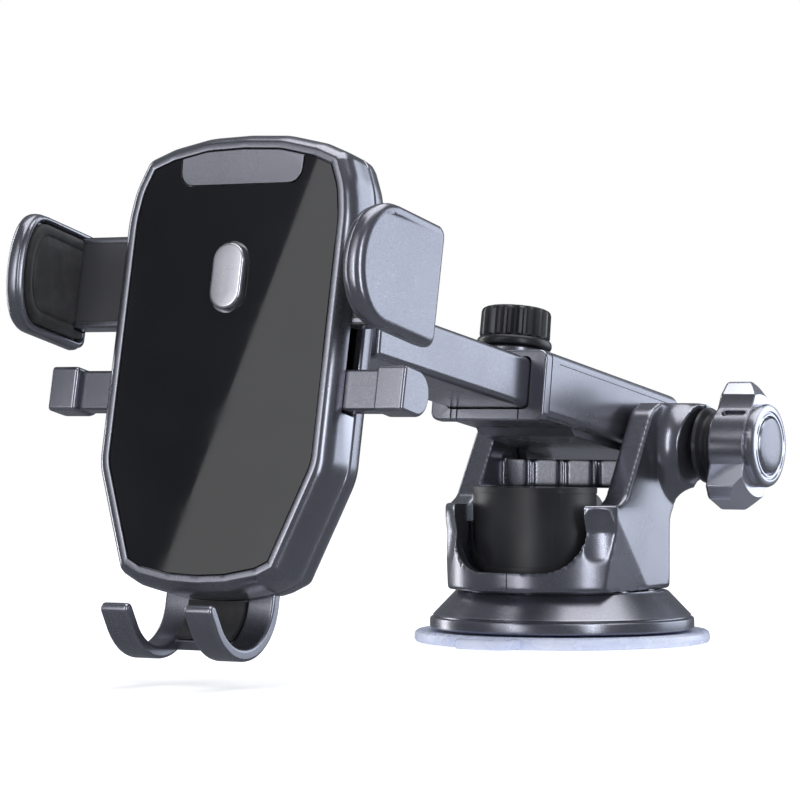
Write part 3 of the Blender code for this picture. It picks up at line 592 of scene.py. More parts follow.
def make_housing():
    """A drum with two ears, open in front for the lever and behind under the arm."""
    low, high = local_box("base_housing", BASE)
    half = 26.0
    round_r = 31.8
    ear_inner = 19.5
    floor = 17.4
    drum_top = 37.5
    back = 17.0
    reach = 180 / pi * atan2(half, (round_r**2 - half**2) ** 0.5)
    plan = arc((0, 0), round_r, -90 - reach, -90 + reach, 48)
    plan += arc((half - 5, back - 5), 5, 0, 90, 8) + arc((5 - half, back - 5), 5, 90, 180, 8)
    housing = bare("housing", pillow(plan, low.z, drum_top, "Z", 0.9, 0.4))
    for side in (-1, 1):
        join(housing, prism(ear_outline(), *span(side, ear_inner, half - 0.02), "X"))
    # the flat sides flare into the round hinge bosses, but no higher than the ears' own edge
    for side, end in ((1, high.x), (-1, -low.x)):
        flare = [(0, 20.0), (17.3, 20.0)]
        for i in range(13):
            a = radians(7.5 * i)
            flare.append((17.3 - 6.0 * sin(a), half - 0.05 + 6.4 * (1 - cos(a))))
        flare += [(11.3, end - 0.5), (10.8, end), (0, end)]
        boss = bare("boss", at_hinge(turned([(r, side * h) for r, h in flare], "X")))
        keep(boss, prism(ear_outline(), -60, 60, "X"))
        merge(housing, boss)
    swing = 42.6
    cavity = arc((0, 0), 28.8, -90 - swing, -90 + swing, 32)
    cavity += [(ear_inner, back - 3), (-ear_inner, back - 3)]
    cut(housing, prism(cavity, floor, 72, "Z"))
    window = rectangle((-ear_inner, 19.7), (ear_inner, 90), 10.5, 10)
    cut(housing, prism(window, -44, -20, "Y"), box((-ear_inner, 10, 27.5), (ear_inner, 40, 72)))
    for side in (-1, 1):
        # a thumb scoop beside the opening, and a long facet where front and side meet
        scoop = [(0, -19), (7, -17), (12, -12.5), (15, -6.5), (16, 0), (15, 6), (12, 10.5)]
        scoop += [(7, 13.5), (0, 15)]
        cut(housing, shifted(turned(scoop, "Z", 96), (side * 32.9, -32.5, 30.0)))
        top = Vector((side * half, -18.3, 34.5))
        rear = Vector((side * half, 1.5, 13.0))
        front = Vector((side * (half - 2.4), -21.2, 13.0))
        cut(housing, beyond(top, rear, front, Vector((0, 0, 25))))
    # a ribbed web ties the ears together under the arm
    join(housing, box((-ear_inner - 1, 2.4, 41.5), (ear_inner + 1, 7.6, 49.1)))
    for x in (-11.0, -1.0, 9.0):
        join(housing, box((x - 0.7, 1.2, 41.5), (x + 0.7, 3.4, 49.1)))
    mould(housing, 0.5, 5, 0.3)
    # the bolt's and the stem's holes, the nut's pocket, the seam in front and the screws' holes
    cut(housing, at_hinge(rod(BOLT_HOLE_R, -60, 60, "X")), rod(4.2, 10, 20))
    hexagon = [(y + HINGE.y, z + HINGE.z) for y, z in arc((0, 0), 5.6, 0, 300, 5)]
    cut(housing, prism(hexagon, -40, low.x + 7.6, "X"))
    cut(housing, box((-0.16, -40, 10), (0.16, -30.9, 24)))
    for x in (-22.5, 22.5):
        for y in (-8.0, 8.0):
            cut(housing, shifted(rod(1.7, 10, 24, "Z", 24), (x, y, 0)))
    finish(housing, BASE, "gunmetal", "base", "base_housing", crease=40)


def make_lever():
    """A curved flap with a raised band along its lower rim, on two arms with round ends."""
    pin_z = JOINTS["lever_flip"]["pos_m"][2] / MM
    low, high = local_box("lock_lever", BASE)
    flap_r = 24.6
    spread = 49.5
    sheet = arc((0, 0), flap_r, -90 + spread, -90 - spread, 40)
    sheet += arc((0, 0), flap_r - 2.2, -90 - spread, -90 + spread, 40)
    lever = bare("lever", prism(sheet, low.z, high.z, "Z"))
    front = rectangle((-18.6, low.z + 0.2), (18.6, high.z + 30), 10.0, 10)
    keep(lever, prism(front, -40, 0, "Y"))
    rim = inset(front, -0.7)
    band = bare("band", prism(rim, -40, -10, "Y"))
    cut(band, prism(inset(front, 0.9), -41, -9, "Y"), box((-30, -50, low.z + 13), (30, 0, 90)))
    shell = arc((0, 0), flap_r + 1.0, -90 + spread + 3, -90 - spread - 3, 40)
    shell += arc((0, 0), flap_r - 1.4, -90 - spread - 3, -90 + spread + 3, 40)
    keep(band, prism(shell, low.z - 2, high.z, "Z"))
    merge(lever, band)
    ledge = arc((0, 0), flap_r + 0.3, -90 + spread, -90 - spread, 40)
    ledge += [(-15.0, -8.5), (15.0, -8.5)]
    join(lever, prism(ledge, high.z - 1.4, high.z, "Z"))
    soften(lever, 0.35, 2)
    for side in (-1, 1):
        near, far = span(side, 4.2, 9.0)
        join(lever, shifted(rod(9.2, near, far, "X"), (0, 0, pin_z)))
        join(lever, box((near, -22.9, pin_z - 5.5), (far, -4, pin_z + 6.0)))
    cut(lever, shifted(rod(1.75, -12, 12, "X", 32), (0, 0, pin_z)))
    finish(lever, BASE, "black_plastic", "lever", "lock_lever")


# ---------------------------------------------------------------- hinge


def make_hinge_knob():
    """A round knob with two wings; each wing is given by (angle, reach, fillet) corners."""
    low, high = local_box("hinge_knob", BASE)
    start, end = low.x, high.x
    body_r = 11.2
    corners = ((-27, 16.3, 1.4), (-15, 17.7, 1.8), (16, 17.7, 2.4), (32, 14.2, 2.0),
               (46, body_r, 0))
    wings = []
    for turn in (68, 248):
        wings += arc((0, 0), body_r, turn - 118, turn - 42, 10)
        for off, reach, fillet in corners:
            a = radians(turn + off)
            wings.append((reach * cos(a), reach * sin(a), fillet))
    outline = rounded(wings, 0, 5)
    knob = bare("clamp_knob", pillow(outline, start + 0.4, end - 3.2, "X", 1.0, 0.3))
    # the wings fall away towards the face in a long chamfer
    cone = [(0, start), (19.0, start), (19.0, end - 8.2), (12.8, end - 2.2), (0, end - 2.2)]
    keep(knob, turned(cone, "X", 96))
    face = [(0, start), (9.8, start), (10.4, start + 0.5), (body_r - 0.3, start + 0.9)]
    face += [(body_r - 0.3, end - 3.2), (body_r, end - 2.6), (body_r, end - 1.0)]
    face += [(body_r - 0.3, end - 0.35), (body_r - 1.0, end), (body_r - 1.9, end)]
    face += [(body_r - 2.2, end - 0.35), (body_r - 2.45, end - 0.35)]
    face += [(body_r - 2.7, end), (body_r - 3.1, end), (body_r - 3.3, end - 0.3)]
    face += [(body_r - 3.3, end - 1.2), (0, end - 1.2)]
    join(knob, turned(face, "X", 128))
    soften(knob, 0.3, 2, 40)
    # a groove along one wing, the bolt's hole and the pocket for its head
    slot = rectangle((-1.3, start + 3.0), (1.3, end - 4.2), 1.25, 6)
    groove = prism(slot, body_r - 1.0, body_r + 6, "Z")
    swapped = Matrix(((0, 1, 0, 0), (1, 0, 0, 0), (0, 0, 1, 0), (0, 0, 0, 1)))
    lean = Matrix.Rotation(radians(38), 4, "X") @ swapped
    bmesh.ops.transform(groove, matrix=lean, verts=groove.verts)
    pocket = prism(arc((0, 0), 5.3, 0, 300, 5), start - 1, start + 4.8, "X")
    cut(knob, groove, rod(BOLT_HOLE_R, 30, end - 3, "X", 48), pocket)
    finish(knob, Matrix.Translation(HINGE * MM), "gunmetal", "clamp_knob", "hinge_knob")


def make_knob_cap():
    low, high = local_box("hinge_knob_cap", BASE)
    cap_r = (high.y - low.y) / 2
    cap = [(0, low.x), (cap_r, low.x), (cap_r, high.x - 0.9), (cap_r - 0.25, high.x - 0.55)]
    cap += [(cap_r - 0.9, high.x - 0.3), (cap_r * 0.6, high.x - 0.08)]
    cap += [(cap_r * 0.3, high.x), (0, high.x)]
    made = bare("clamp_knob_cap", turned(cap, "X"))
    finish(made, AT_HINGE, "gunmetal", "clamp_knob", "hinge_knob_cap")


def make_spacer():
    low, high = local_box("hinge_spacer", BASE)
    a, b = low.x, high.x
    ring = [(3.0, a), (10.0, a), (10.2, a + 0.2), (10.2, a + 1.0), (9.9, a + 1.3), (8.9, a + 1.6)]
    ring += [(8.6, a + 1.9), (8.6, b - 1.5), (8.9, b - 1.0), (9.3, b - 0.8), (9.4, b - 0.6)]
    ring += [(9.4, b - 0.15), (9.2, b), (3.0, b)]
    made = bare("hinge_collar", turned(ring, "X", closed=True))
    finish(made, AT_HINGE, "black_plastic", "base", "hinge_spacer")


# ---------------------------------------------------------------- arm


def make_outer_arm():
    """The sleeve, with a rounded heel at the hinge, a keel below and the lock knob's boss."""
    low, high = local_box("outer_arm", ARM)
    knob_y = local_box("brake_pad", ARM)[0].y + 4.0
    bore_low, bore_high = local_box("inner_arm", ARM)
    top = high.z - 2.0
    under = bore_low.z - 2.1
    section = rectangle((low.x, under), (high.x, top), 2.2, 6)
    arm = bare("outer_arm_shell", prism(section, low.y, high.y + 4, "Y"))
    heel = [(low.y, under - 1, 0), (high.y - 8.5, under - 1, 6.0), (high.y, under + 6.5, 6.0),
            (high.y, top - 8.0, 6.0), (high.y - 8.5, top + 1, 6.0), (low.y, top + 1, 0)]
    keep(arm, prism(rounded(heel, 5, 8), -20, 20, "X"))
    soften(arm, 0.9, 3, 30)
    keel = rounded([(-40, -3.7, 1.5), (8, -3.7, 6), (14, under + 1, 0), (-44, under + 1, 0)], 2, 5)
    join(arm, pillow(keel, low.x + 2.2, high.x - 2.2, "X", 0.5, 0.5, 2))
    # a shallow step runs along the top of each side wall
    for side in (-1, 1):
        near, far = span(side, high.x - 0.28, high.x + 2)
        cut(arm, box((near, low.y + 4.0, top - 3.1), (far, high.y - 12.0, top - 2.75)))
    boss = [(0, 8), (8.8, 8), (8.8, high.z - 0.4), (8.5, high.z), (0, high.z)]
    join(arm, shifted(turned(boss, "Z", 72), (0, knob_y, 0)))
    bore_x = bore_high.x + GAP
    cut(arm, box((-bore_x, low.y - 5, bore_low.z - GAP), (bore_x, -8, bore_high.z + GAP)))
    cut(arm, rod(BOLT_HOLE_R, -20, 20, "X"), shifted(rod(4.4, 12, 15.5), (0, knob_y, 0)))
    cut(arm, shifted(rod(LOCK_SCREW_HOLE_R, 12, 20, "Z", 32), (0, knob_y, 0)))
    finish(arm, ARM, "gunmetal", "arm", "outer_arm")


def make_mouth_collar():
    low, high = local_box("mouth_collar", ARM)
    bore_low, bore_high = local_box("inner_arm", ARM)
    under = bore_low.z - 3.3
    section = rectangle((low.x, under), (high.x, high.z), 2.4, 6)
    collar = bare("mouth_ring", pillow(section, low.y, high.y, "Y", 0.7, 0.25))
    bore_x = bore_high.x + GAP
    hole = rectangle((-bore_x, bore_low.z - GAP), (bore_x, bore_high.z + GAP), 1.7, 5)
    cut(collar, prism(hole, low.y - 5, high.y + 5, "Y"))
    # three short slits in the lower lip
    for x in (-10.6, -8.8, 9.4):
        cut(collar, box((x - 0.15, low.y - 1, under - 1), (x + 0.15, low.y + 0.6, bore_low.z)))
    soften(collar, 0.22, 2)
    finish(collar, ARM, "gunmetal", "arm", "mouth_collar")


def make_inner_arm():
    low, high = local_box("inner_arm", ARM)
    section = rectangle((low.x, low.z), (high.x, high.z), 1.8, 6)
    tube = bare("inner_arm_tube", pillow(section, low.y, high.y, "Y", 1.2, 0.5, 5))
    middle = (low.z + high.z) / 2
    cut(tube, box((low.x + 2, low.y + 4, low.z + 2), (high.x - 2, high.y + 5, high.z - 2)))
    cut(tube, shifted(rod(3.3, low.y - 5, low.y + 8, "Y", 40), (0, 0, middle)))
    finish(tube, ARM, "gunmetal", "telescope", "inner_arm")


def make_lock_knob():
    low, high = local_box("arm_lock_knob", ARM)
    middle = (low.y + high.y) / 2
    base = low.z
    # (height, radius, depth of the flutes)
    levels = [(base, 9.4, 0), (base + 0.25, 9.8, 0), (base + 0.9, 10.0, 0), (base + 1.7, 9.9, 0)]
    levels += [(base + 2.2, 9.6, 0), (base + 2.5, 9.1, 0), (base + 2.55, 8.9, 0)]
    levels += [(base + 2.7, 9.2, 0.6), (base + 3.1, 9.4, 0.9)]
    levels += [(high.z - 1.4, 9.3, 0.9), (high.z - 0.7, 9.05, 0.75)]
    levels += [(high.z - 0.25, 8.6, 0.4), (high.z, 7.9, 0.1), (high.z - 0.05, 7.2, 0)]
    levels += [(high.z - 0.5, 6.9, 0), (high.z - 0.6, 6.4, 0), (high.z - 0.45, 3.0, 0)]
    rings = [[(x, middle + y, height) for x, y in fluted(reach, depth, 20, 8, 1.7)]
             for height, reach, depth in levels]
    knob = bare("lock_knob", loft(rings))
    hole = rod(LOCK_SCREW_HOLE_R, base - 1, base + 6.8, "Z", 32)
    cut(knob, shifted(hole, (0, middle, 0)))
    finish(knob, ARM, "black_plastic", "lock_knob", "arm_lock_knob")


def make_socket():
    """A cup with a flange, open round the ball."""
    low, high = local_box("ball_socket", BALL)
    start, end = low.y, high.y
    cavity = 10.1
    angles = [radians(-90 + 6 * i) for i in range(20)]
    bowl = [(cavity * cos(a), cavity * sin(a)) for a in angles if cavity * sin(a) < 4.4]
    socket = [(0, start), (15.2, start), (15.5, start + 0.3), (15.5, start + 2.1)]
    socket += [(15.2, start + 2.4), (12.6, start + 2.6), (12.2, start + 3.0), (12.2, end)]
    socket += [((cavity**2 - end**2) ** 0.5, end)]
    socket += [(r, h) for r, h in reversed(bowl) if r > 0.01] + [(0, -cavity)]
    finish(bare("socket", turned(socket, "Y")), BALL, "black_plastic", "holder", "ball_socket")


def make_lock_ring():
    start = local_box("socket_lock_ring", BALL)[0].y
    # (radius, height, depth of the flutes)
    profile = [(12.5, start, 0), (13.9, start, 0), (14.4, start + 0.5, 0.3)]
    profile += [(14.4, start + 2.0, 0.5), (14.4, 4.6, 0.5), (14.2, 5.6, 0.3), (13.3, 6.9, 0)]
    profile += [(12.8, 7.2, 0), (10.2, 7.2, 0), (9.8, 6.8, 0), (9.8, 4.8, 0), (12.5, 4.8, 0)]
    rings = [[(x, height, z) for x, z in fluted(reach, depth, 24, 6, 2.2)]
             for reach, height, depth in profile]
    ring = bare("lock_ring", loft(rings, closed=True))
    finish(ring, BALL, "gunmetal", "lock_ring", "socket_lock_ring")


# ---------------------------------------------------------------- holder


def shield(distance=0.0):
    """The holder from the front, that far in from its edge: a long shield, (x, z) points."""
    # the right half's corners from the top down, (x, z, fillet)
    half = [(10.5, 52.2, 20), (20.5, 50.0, 14), (27.4, 47.2, 4.2), (30.6, 39.6, 22)]
    half += [(31.75, 32.0, 30), (31.75, -27.0, 16), (22.3, -51.9, 3.4), (17.0, -54.6, 9)]
    half += [(8.0, -56.4, 14)]
    corners = [(0, 52.6, 30)] + half + [(0, -56.8, 30)] + [(-x, z, r) for x, z, r in reversed(half)]
    moved = inset([(x, z) for x, z, _ in corners], distance)
    radii = [max(r - distance, 0.7) for _, _, r in corners]
    return rounded([(*p, r) for p, r in zip(moved, radii)], 3, 7)


def notch(gap=0.0):
    """The step in the panel's top edge that holds the insert, (x, z) points."""
    corners = [(-17.9 + gap, 62, 0), (-16.6 + gap, 39.6 + gap, 3.4),
               (16.6 - gap, 39.6 + gap, 3.4), (17.9 - gap, 62, 0)]
    return rounded(corners, 2, 6)


def button_middle():
    """The button's height on the holder: 1.9 lower than the CAD's, as in the photograph."""
    low, high = local_box("release_button", HOLDER)
    return (low.z + high.z) / 2 - 1.9


def button_hole(depth):
    return prism(pill(4.8, 8.5, button_middle()), -2, depth, "Y")


def make_bezel():
    depth = local_box("front_bezel", HOLDER)[1].y
    levels = [(3.4, 2.0), (depth, 2.0), (depth, 0.25), (depth - 0.3, 0.0), (7.0, 0.0), (4.4, 0.05)]
    levels += [(3.2, 0.25), (2.1, 0.65), (1.2, 1.15), (0.55, 1.75), (0.15, 2.3), (0.0, 2.75)]
    levels += [(0.0, 3.7), (0.12, 3.95), (0.35, 4.05), (1.8, 4.05)]
    bezel = bare("bezel", layered(shield, "Y", levels))
    cut(bezel, button_hole(6))
    for side, word in SIDES:
        near, far = span(side, 27, 36)
        for node in ("slider", "lower_hook"):
            low, high = local_box(f"{word}_{node}", HOLDER)
            cut(bezel, box((near, 4.3, low.z - GAP), (far, 14, high.z + GAP)))
    finish(bezel, HOLDER, "gunmetal", "holder", "front_bezel", crease=38)


def make_shell():
    low, high = local_box("rear_shell", HOLDER)
    start, end = low.y, high.y
    levels = [(end - 2.0, 7.2), (end - 3.4, 4.2), (end - 6.0, 2.4), (start, 2.0), (start, 0.5)]
    levels += [(start + 0.35, 0.15), (start + 0.8, 0.0), (start + 3.2, 0.15), (start + 5.2, 0.8)]
    levels += [(start + 7.0, 2.1), (start + 8.4, 3.9), (start + 9.2, 5.6)]
    levels += [(end - 0.12, 6.9), (end, 8.2)]
    shell = bare("back_shell", layered(shield, "Y", levels))
    # the back falls away towards its top edge
    crown = box((-60, 0, 0), (60, 60, 40))
    slope = Matrix.Translation((0, start + 0.8, 55.0)) @ Matrix.Rotation(radians(-38), 4, "X")
    bmesh.ops.transform(crown, matrix=slope, verts=crown.verts)
    cut(shell, crown)
    foot_low, foot_high = local_box("support_foot", HOLDER)
    cut(shell, box((foot_low.x - GAP, 11.2, -70), (foot_high.x + GAP, 14.6, -45)))
    for i in range(1, 5):
        low, high = local_box(f"head_screw_{i}", HOLDER)
        at = ((low.x + high.x) / 2, 0, (low.z + high.z) / 2)
        join(shell, shifted(rod(3.0, start + 0.4, end - 1, "Y", 32), at))
        cut(shell, shifted(rod(1.5, 5, 24, "Y", 24), at))
        cut(shell, shifted(rod(2.6, end - 1.4, 24, "Y", 40), at))
    # ventilation slots across the lower back
    for row in range(4):
        z = -14.0 - 4.2 * row
        slot = rectangle((-10, z - 0.8), (10, z + 0.8), 0.75, 4)
        cut(shell, prism(slot, end - 0.7, end + 3, "Y"))
    finish(shell, HOLDER, "gunmetal", "holder", "rear_shell", crease=38)


def make_panel():
    """The glossy face and the insert in its top edge, both that far inside the holder's edge."""
    edge = 4.2
    levels = [(1.5, edge), (0.55, edge), (0.38, edge + 0.06), (0.3, edge + 0.2)]
    panel = bare("panel", layered(shield, "Y", levels))
    cut(panel, prism(notch(), -2, 4, "Y"), button_hole(5))
    soften(panel, 0.1, 2)
    finish(panel, HOLDER, "gloss_panel", "holder", "front_panel")

    levels = [(1.5, edge), (0.45, edge), (0.2, edge + 0.1), (0.05, edge + 0.35)]
    insert = bare("insert", layered(shield, "Y", levels))
    keep(insert, prism(notch(0.25), -2, 4, "Y"))
    soften(insert, 0.16, 3)
    finish(insert, HOLDER, "gunmetal", "holder", "top_insert")


def make_button():
    low, high = local_box("release_button", HOLDER)
    outline = pill(4.25, 7.9, button_middle(), 28)
    front = low.y
    rear = high.y - 1.3  # clear of the button's spring
    levels = [(rear, -0.9), (rear - 0.7, -0.9), (rear - 0.7, 0.0), (front + 0.7, 0.0)]
    levels += [(front + 0.4, 0.08), (front + 0.15, 0.25), (front + 0.03, 0.5), (front, 0.8)]
    levels += [(front - 0.04, 2.0), (front - 0.06, 3.4)]
    button = bare("button_cap", layered(outline, "Y", levels))
    finish(button, HOLDER, "silver_plastic", "button", "release_button")


def make_slider(side, word):
    low, high = local_box(f"{word}_slider", HOLDER)
    front, rear = 4.45, 9.95
    outer = max(abs(low.x), abs(high.x)) - 1.0
    zlow, zhigh = 6.85, 29.15
    near, far = span(side, 28.5, outer)
    section = rectangle((front, zlow), (rear, zhigh), 0.9, 4)
    arm = bare(f"{word}_arm", pillow(section, near, far, "X", 0.3, 0.3, 3))
    # the black face is let in between two raised gunmetal lips
    near, far = span(side, 27.0, outer + 2)
    cut(arm, box((near, front - 1, zlow + 1.5), (far, front + 0.35, zhigh - 1.5)))
    soften(arm, 0.15, 2)
    finish(arm, HOLDER, "black_plastic", f"{word}_clamp")
    arm.data.materials.append(LOOKS["gunmetal"])
    back = HOLDER.inverted()
    for face in arm.data.polygons:
        centre = back @ face.center / MM
        if not zlow + 1.45 <= centre.z <= zhigh - 1.45 or centre.y > front + 2.0:
            face.material_index = 1


def jaw_face(low, high, distance):
    """A D-shaped face, (y, z) points, that far in: bowed in front, straight from y -9.4 to 11."""
    middle = (low + high) / 2
    half = (high - low) / 2 - distance
    bow = 12.4 - distance
    front = []
    for i in range(41):
        a = radians(-90 + 180 * i / 40)
        front.append((-9.4 - bow * cos(a) ** 0.8, middle + half * sin(a)))
    fillet = max(0.4, 2.4 - 0.4 * distance)
    back = arc((11 - distance - fillet, middle + half - fillet), fillet, 90, 0, 6)
    return front + back + [(y, 2 * middle - z) for y, z in reversed(back)]


def make_jaw(side, word):
    """A curled jaw and the rubber pad on its inner face."""
    jaw_low, jaw_high = local_box(f"{word}_jaw", HOLDER)
    pad_low, pad_high = local_box(f"{word}_jaw_pad", HOLDER)
    outer = max(abs(jaw_low.x), abs(jaw_high.x)) - 0.8
    inner = min(abs(pad_low.x), abs(pad_high.x)) + 1.6
    low, high = 2.4, 30.8
    arm_low, arm_high = 7.0, 29.0  # the slider that carries them

    def bent(levels):
        """Rings at (x, inset) levels, curled inwards towards the front."""
        rings = []
        for x, distance in levels:
            ring = []
            for y, z in jaw_face(low, high, distance):
                share = max(0.0, (-2.0 - y) / 21.0)
                ring.append((side * (x - 3.0 * share**2), y, z))
            rings.append(ring)
        return loft(rings)

    levels = [(inner + 1.4, 3.0), (inner + 1.4, 2.2), (inner + 0.2, 1.9), (inner - 0.3, 1.5)]
    levels += [(inner - 0.4, 1.1), (inner - 0.1, 0.6), (inner + 0.4, 0.45), (inner + 0.9, 0.5)]
    levels += [(inner + 1.1, 0.3), (inner + 1.5, 0.1), (inner + 2.2, 0.0), (outer - 1.5, 0.0)]
    levels += [(outer - 0.9, 0.2), (outer - 0.35, 0.7), (outer - 0.05, 1.4), (outer, 2.3)]
    jaw = bare(f"{word}_jaw_plate", bent(levels))
    near, far = span(side, inner - 8, inner + 3.2)
    cut(jaw, box((near, 4.3, arm_low - GAP), (far, 9.8 + GAP, arm_high + GAP)))
    finish(jaw, HOLDER, "gunmetal", f"{word}_clamp", f"{word}_jaw", crease=45)

    levels = [(inner + 1.25, 2.7), (inner + 1.1, 2.45), (inner + 0.3, 2.4), (inner - 0.4, 2.5)]
    levels += [(inner - 0.9, 2.9), (inner - 1.1, 3.6), (inner - 1.1, 4.6), (inner - 0.8, 4.9)]
    levels += [(inner - 0.8, 5.3), (inner - 1.1, 5.6), (inner - 1.2, 7.5)]
    pad = bare(f"{word}_pad", bent(levels))
    cut(pad, box((-90, 4.0, arm_low - 0.6), (90, 60, arm_high + 0.6)))
    finish(pad, HOLDER, "black_rubber", f"{word}_clamp", f"{word}_jaw_pad", crease=45)


def make_lower_hook(side, word):
    """A flat bar with a D-shaped block at its end."""
    low, high = local_box(f"{word}_lower_hook", HOLDER)
    zlow, zhigh = low.z - 0.2, high.z - 0.9
    middle = (zlow + zhigh) / 2
    half = (zhigh - zlow) / 2
    front = 2.4
    inner, outer = 41.0, 48.6
    near, far = span(side, 22.4, inner + 1)
    bar = rectangle((4.6, zlow + 0.6), (9.8, zhigh - 0.6), 0.7, 4)
    hook = bare(f"{word}_hook", pillow(bar, near, far, "X", 0.2, 0.2, 2))
    near, far = span(side, inner, outer)
    d_face = arc((front + 1.0, zlow + 1.0), 1.0, 180, 265, 4)
    d_face += arc((14.4 - half, middle), half, -90, 90, 24)
    d_face += arc((front + 1.0, zhigh - 1.0), 1.0, 95, 180, 4)
    join(hook, pillow(d_face, near, far, "X", 0.6, 0.9, 4))
    finish(hook, HOLDER, "gunmetal", f"{word}_clamp", f"{word}_lower_hook")


def make_foot():
    """A sliding plate that ends in two J-shaped hooks, with a cushion between them."""
    half = local_box("support_foot", HOLDER)[1].x
    rear = 14.2
    face = 11.6
    hook = 7.4
    sweep = -138
    plate = rounded([(-half, -20, 2), (half, -20, 2), (half, -52, 3), (half - 1.2, -61, 4),
                     (-half + 1.2, -61, 4), (-half, -52, 3)], 2, 5)
    foot = bare("foot", pillow(plate, face, rear, "Y", 0.5, 0.5))
    middle = (-0.3, -57.5)
    outer_r = rear - middle[0]
    inner_r = outer_r - 2.9
    end = radians(sweep)
    wall = (outer_r - inner_r) / 2
    mean = outer_r - wall
    tip = (
        middle[0] + mean * cos(end) + 4.6 * sin(end),
        middle[1] + mean * sin(end) - 4.6 * cos(end),
    )
    profile = [(rear, -50)] + arc(middle, outer_r, 0, sweep, 36)
    profile += arc(tip, wall, sweep, sweep - 180, 10) + arc(middle, inner_r, sweep, 0, 36)
    profile.append((middle[0] + inner_r, -50))
    for near, far in ((-half, -half + hook), (half - hook, half)):
        join(foot, pillow(profile, near, far, "X", 0.8, 0.8, 3))
    web = arc(middle, outer_r - 0.2, 2, -52, 12) + arc(middle, inner_r + 0.2, -52, 2, 12)
    join(foot, prism(web, -half + 1.5, half - 1.5, "X"))
    soften(foot, 0.25, 2)
    finish(foot, HOLDER, "gunmetal", "foot", "support_foot", crease=50)

    pad_low, pad_high = local_box("foot_pad", HOLDER)
    line = arc(middle, inner_r - 0.05, 4, -50, 16) + arc(middle, inner_r - 1.0, -50, 4, 16)
    pad = bare("foot_cushion", pillow(line, pad_low.x, pad_high.x, "X", 0.3, 0.3, 2))
    finish(pad, HOLDER, "black_rubber", "foot", "foot_pad")


# ---------------------------------------------------------------- stage


def make_floor():
    bm = turned([(0, -1.0), (900, -1.0), (900, -0.2), (0, -0.2)], "Z", 96)
    floor = bare("floor", bm)
    floor.data.transform(Matrix.Scale(MM, 4))
    look = Nodes("pale_floor", (0.86, 0.86, 0.87), 0.55)
    tone = look.spread(look.noise(3.0), 0.3, 0.7, 0.0, 1.0)
    pale = look.mix(tone, (0.85, 0.85, 0.86), (0.88, 0.88, 0.89))
    look.drive("Base Color", pale)
    look.drive("Emission Color", pale)
    look.shade({"Emission Strength": 0.62})
    floor.data.materials.append(look.material)
    floor.visible_glossy = False


def softbox(name, at, aim, width, height, watts, tint=(1.0, 1.0, 1.0)):
    """A rectangular lamp that the camera doesn't see."""
    light = bpy.data.lights.new(name, "AREA")
    light.shape = "RECTANGLE"
    light.size = width
    light.size_y = height
    light.energy = watts
    light.color = tint
    lamp = bpy.data.objects.new(name, light)
    bpy.context.scene.collection.objects.link(lamp)
    facing = (Vector(aim) - Vector(at)).to_track_quat("-Z", "Y").to_matrix().to_4x4()
    lamp.matrix_world = Matrix.Translation(at) @ facing
    lamp.visible_camera = False
    return lamp


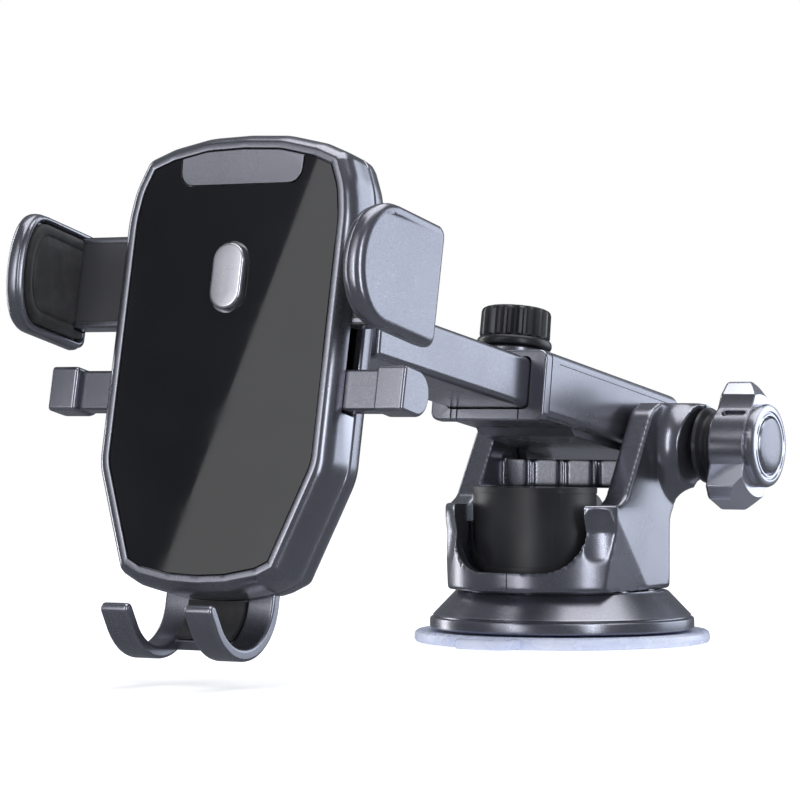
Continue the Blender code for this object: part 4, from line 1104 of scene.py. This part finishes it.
def make_light():
    """Softboxes in a dim bluish room that the camera sees as plain white."""
    world = bpy.data.worlds.new("studio")
    world.use_nodes = True
    tree = world.node_tree
    room = tree.nodes["Background"]
    fill(room, {"Color": (0.80, 0.84, 0.95, 1.0), "Strength": 0.2})
    seen = tree.nodes.new("ShaderNodeBackground")
    fill(seen, {"Color": (1.0, 1.0, 1.0, 1.0), "Strength": 1.0})
    path = tree.nodes.new("ShaderNodeLightPath")
    choose = tree.nodes.new("ShaderNodeMixShader")
    tree.links.new(path.outputs["Is Camera Ray"], choose.inputs[0])
    tree.links.new(room.outputs[0], choose.inputs[1])
    tree.links.new(seen.outputs[0], choose.inputs[2])
    tree.links.new(choose.outputs[0], tree.nodes["World Output"].inputs["Surface"])
    bpy.context.scene.world = world
    centre = (0.0, -0.08, 0.06)
    softbox("side_softbox", (0.95, 1.25, 0.42), centre, 1.3, 1.1, 10, (0.84, 0.90, 1.0))
    softbox("top_softbox", (0.1, 0.1, 1.3), centre, 1.4, 1.2, 14)
    softbox("left_strip", (-1.3, 0.1, 0.3), centre, 0.25, 1.2, 5)
    softbox("right_strip", (1.15, -0.85, 0.3), centre, 0.28, 1.0, 6, (0.93, 0.95, 1.0))
    softbox("front_strip", (-0.35, -1.5, 0.25), centre, 0.2, 1.0, 3, (0.97, 0.96, 1.0))
    make_panel_card()


def make_panel_card():
    """A softbox whose straight edge mirrors as a slanting line across the glossy panel."""
    eye = bpy.context.scene.camera.location
    outward = HOLDER.to_3x3() @ Vector((0, -1, 0))

    def mirrored(x, z):
        """Where the camera looks, by way of that point of the panel, 1.1 metres on."""
        spot = HOLDER @ (Vector((x, 0.3, z)) * MM)
        ray = (spot - eye).normalized()
        return spot + (ray - 2 * ray.dot(outward) * outward) * 1.1

    foot, head, lit = mirrored(-9, -51), mirrored(21.5, 49), mirrored(30, -10)
    along = (head - foot).normalized()
    side = lit - foot
    side = (side - side.dot(along) * along).normalized()
    width, length = 0.7, 1.1
    card = softbox("panel_card", foot, head, width, length, 3.4)
    turn = Matrix((side, along, side.cross(along))).transposed().to_4x4()
    middle = (foot + head) / 2 + side * width / 2
    if (turn.inverted().to_3x3() @ (eye - middle)).z > 0:
        turn = turn @ Matrix.Rotation(pi, 4, "Y")  # a lamp shines along its own -Z
    card.matrix_world = Matrix.Translation(middle) @ turn


def make_camera():
    """A level view from 30 degrees round towards +X, the clamp knob's side."""
    camera = bpy.data.cameras.new("camera")
    camera.lens = 166.0
    camera.clip_end = 50.0
    held = bpy.data.objects.new("camera", camera)
    bpy.context.scene.collection.objects.link(held)
    held.location = (0.462, -0.888, 0.0653)
    held.rotation_euler = Vector((-0.5, 0.866, 0.0)).to_track_quat("-Z", "Y").to_euler()
    bpy.context.scene.camera = held


make_camera()
make_light()
make_floor()
make_gel_disc()
make_skirt()
make_housing()
make_lever()
make_hinge_knob()
make_knob_cap()
make_spacer()
make_outer_arm()
make_mouth_collar()
make_inner_arm()
make_lock_knob()
make_socket()
make_lock_ring()
make_bezel()
make_shell()
make_panel()
make_button()
for which in SIDES:
    make_slider(*which)
    make_jaw(*which)
    make_lower_hook(*which)
make_foot()
bpy.context.scene.view_settings.view_transform = "Standard"
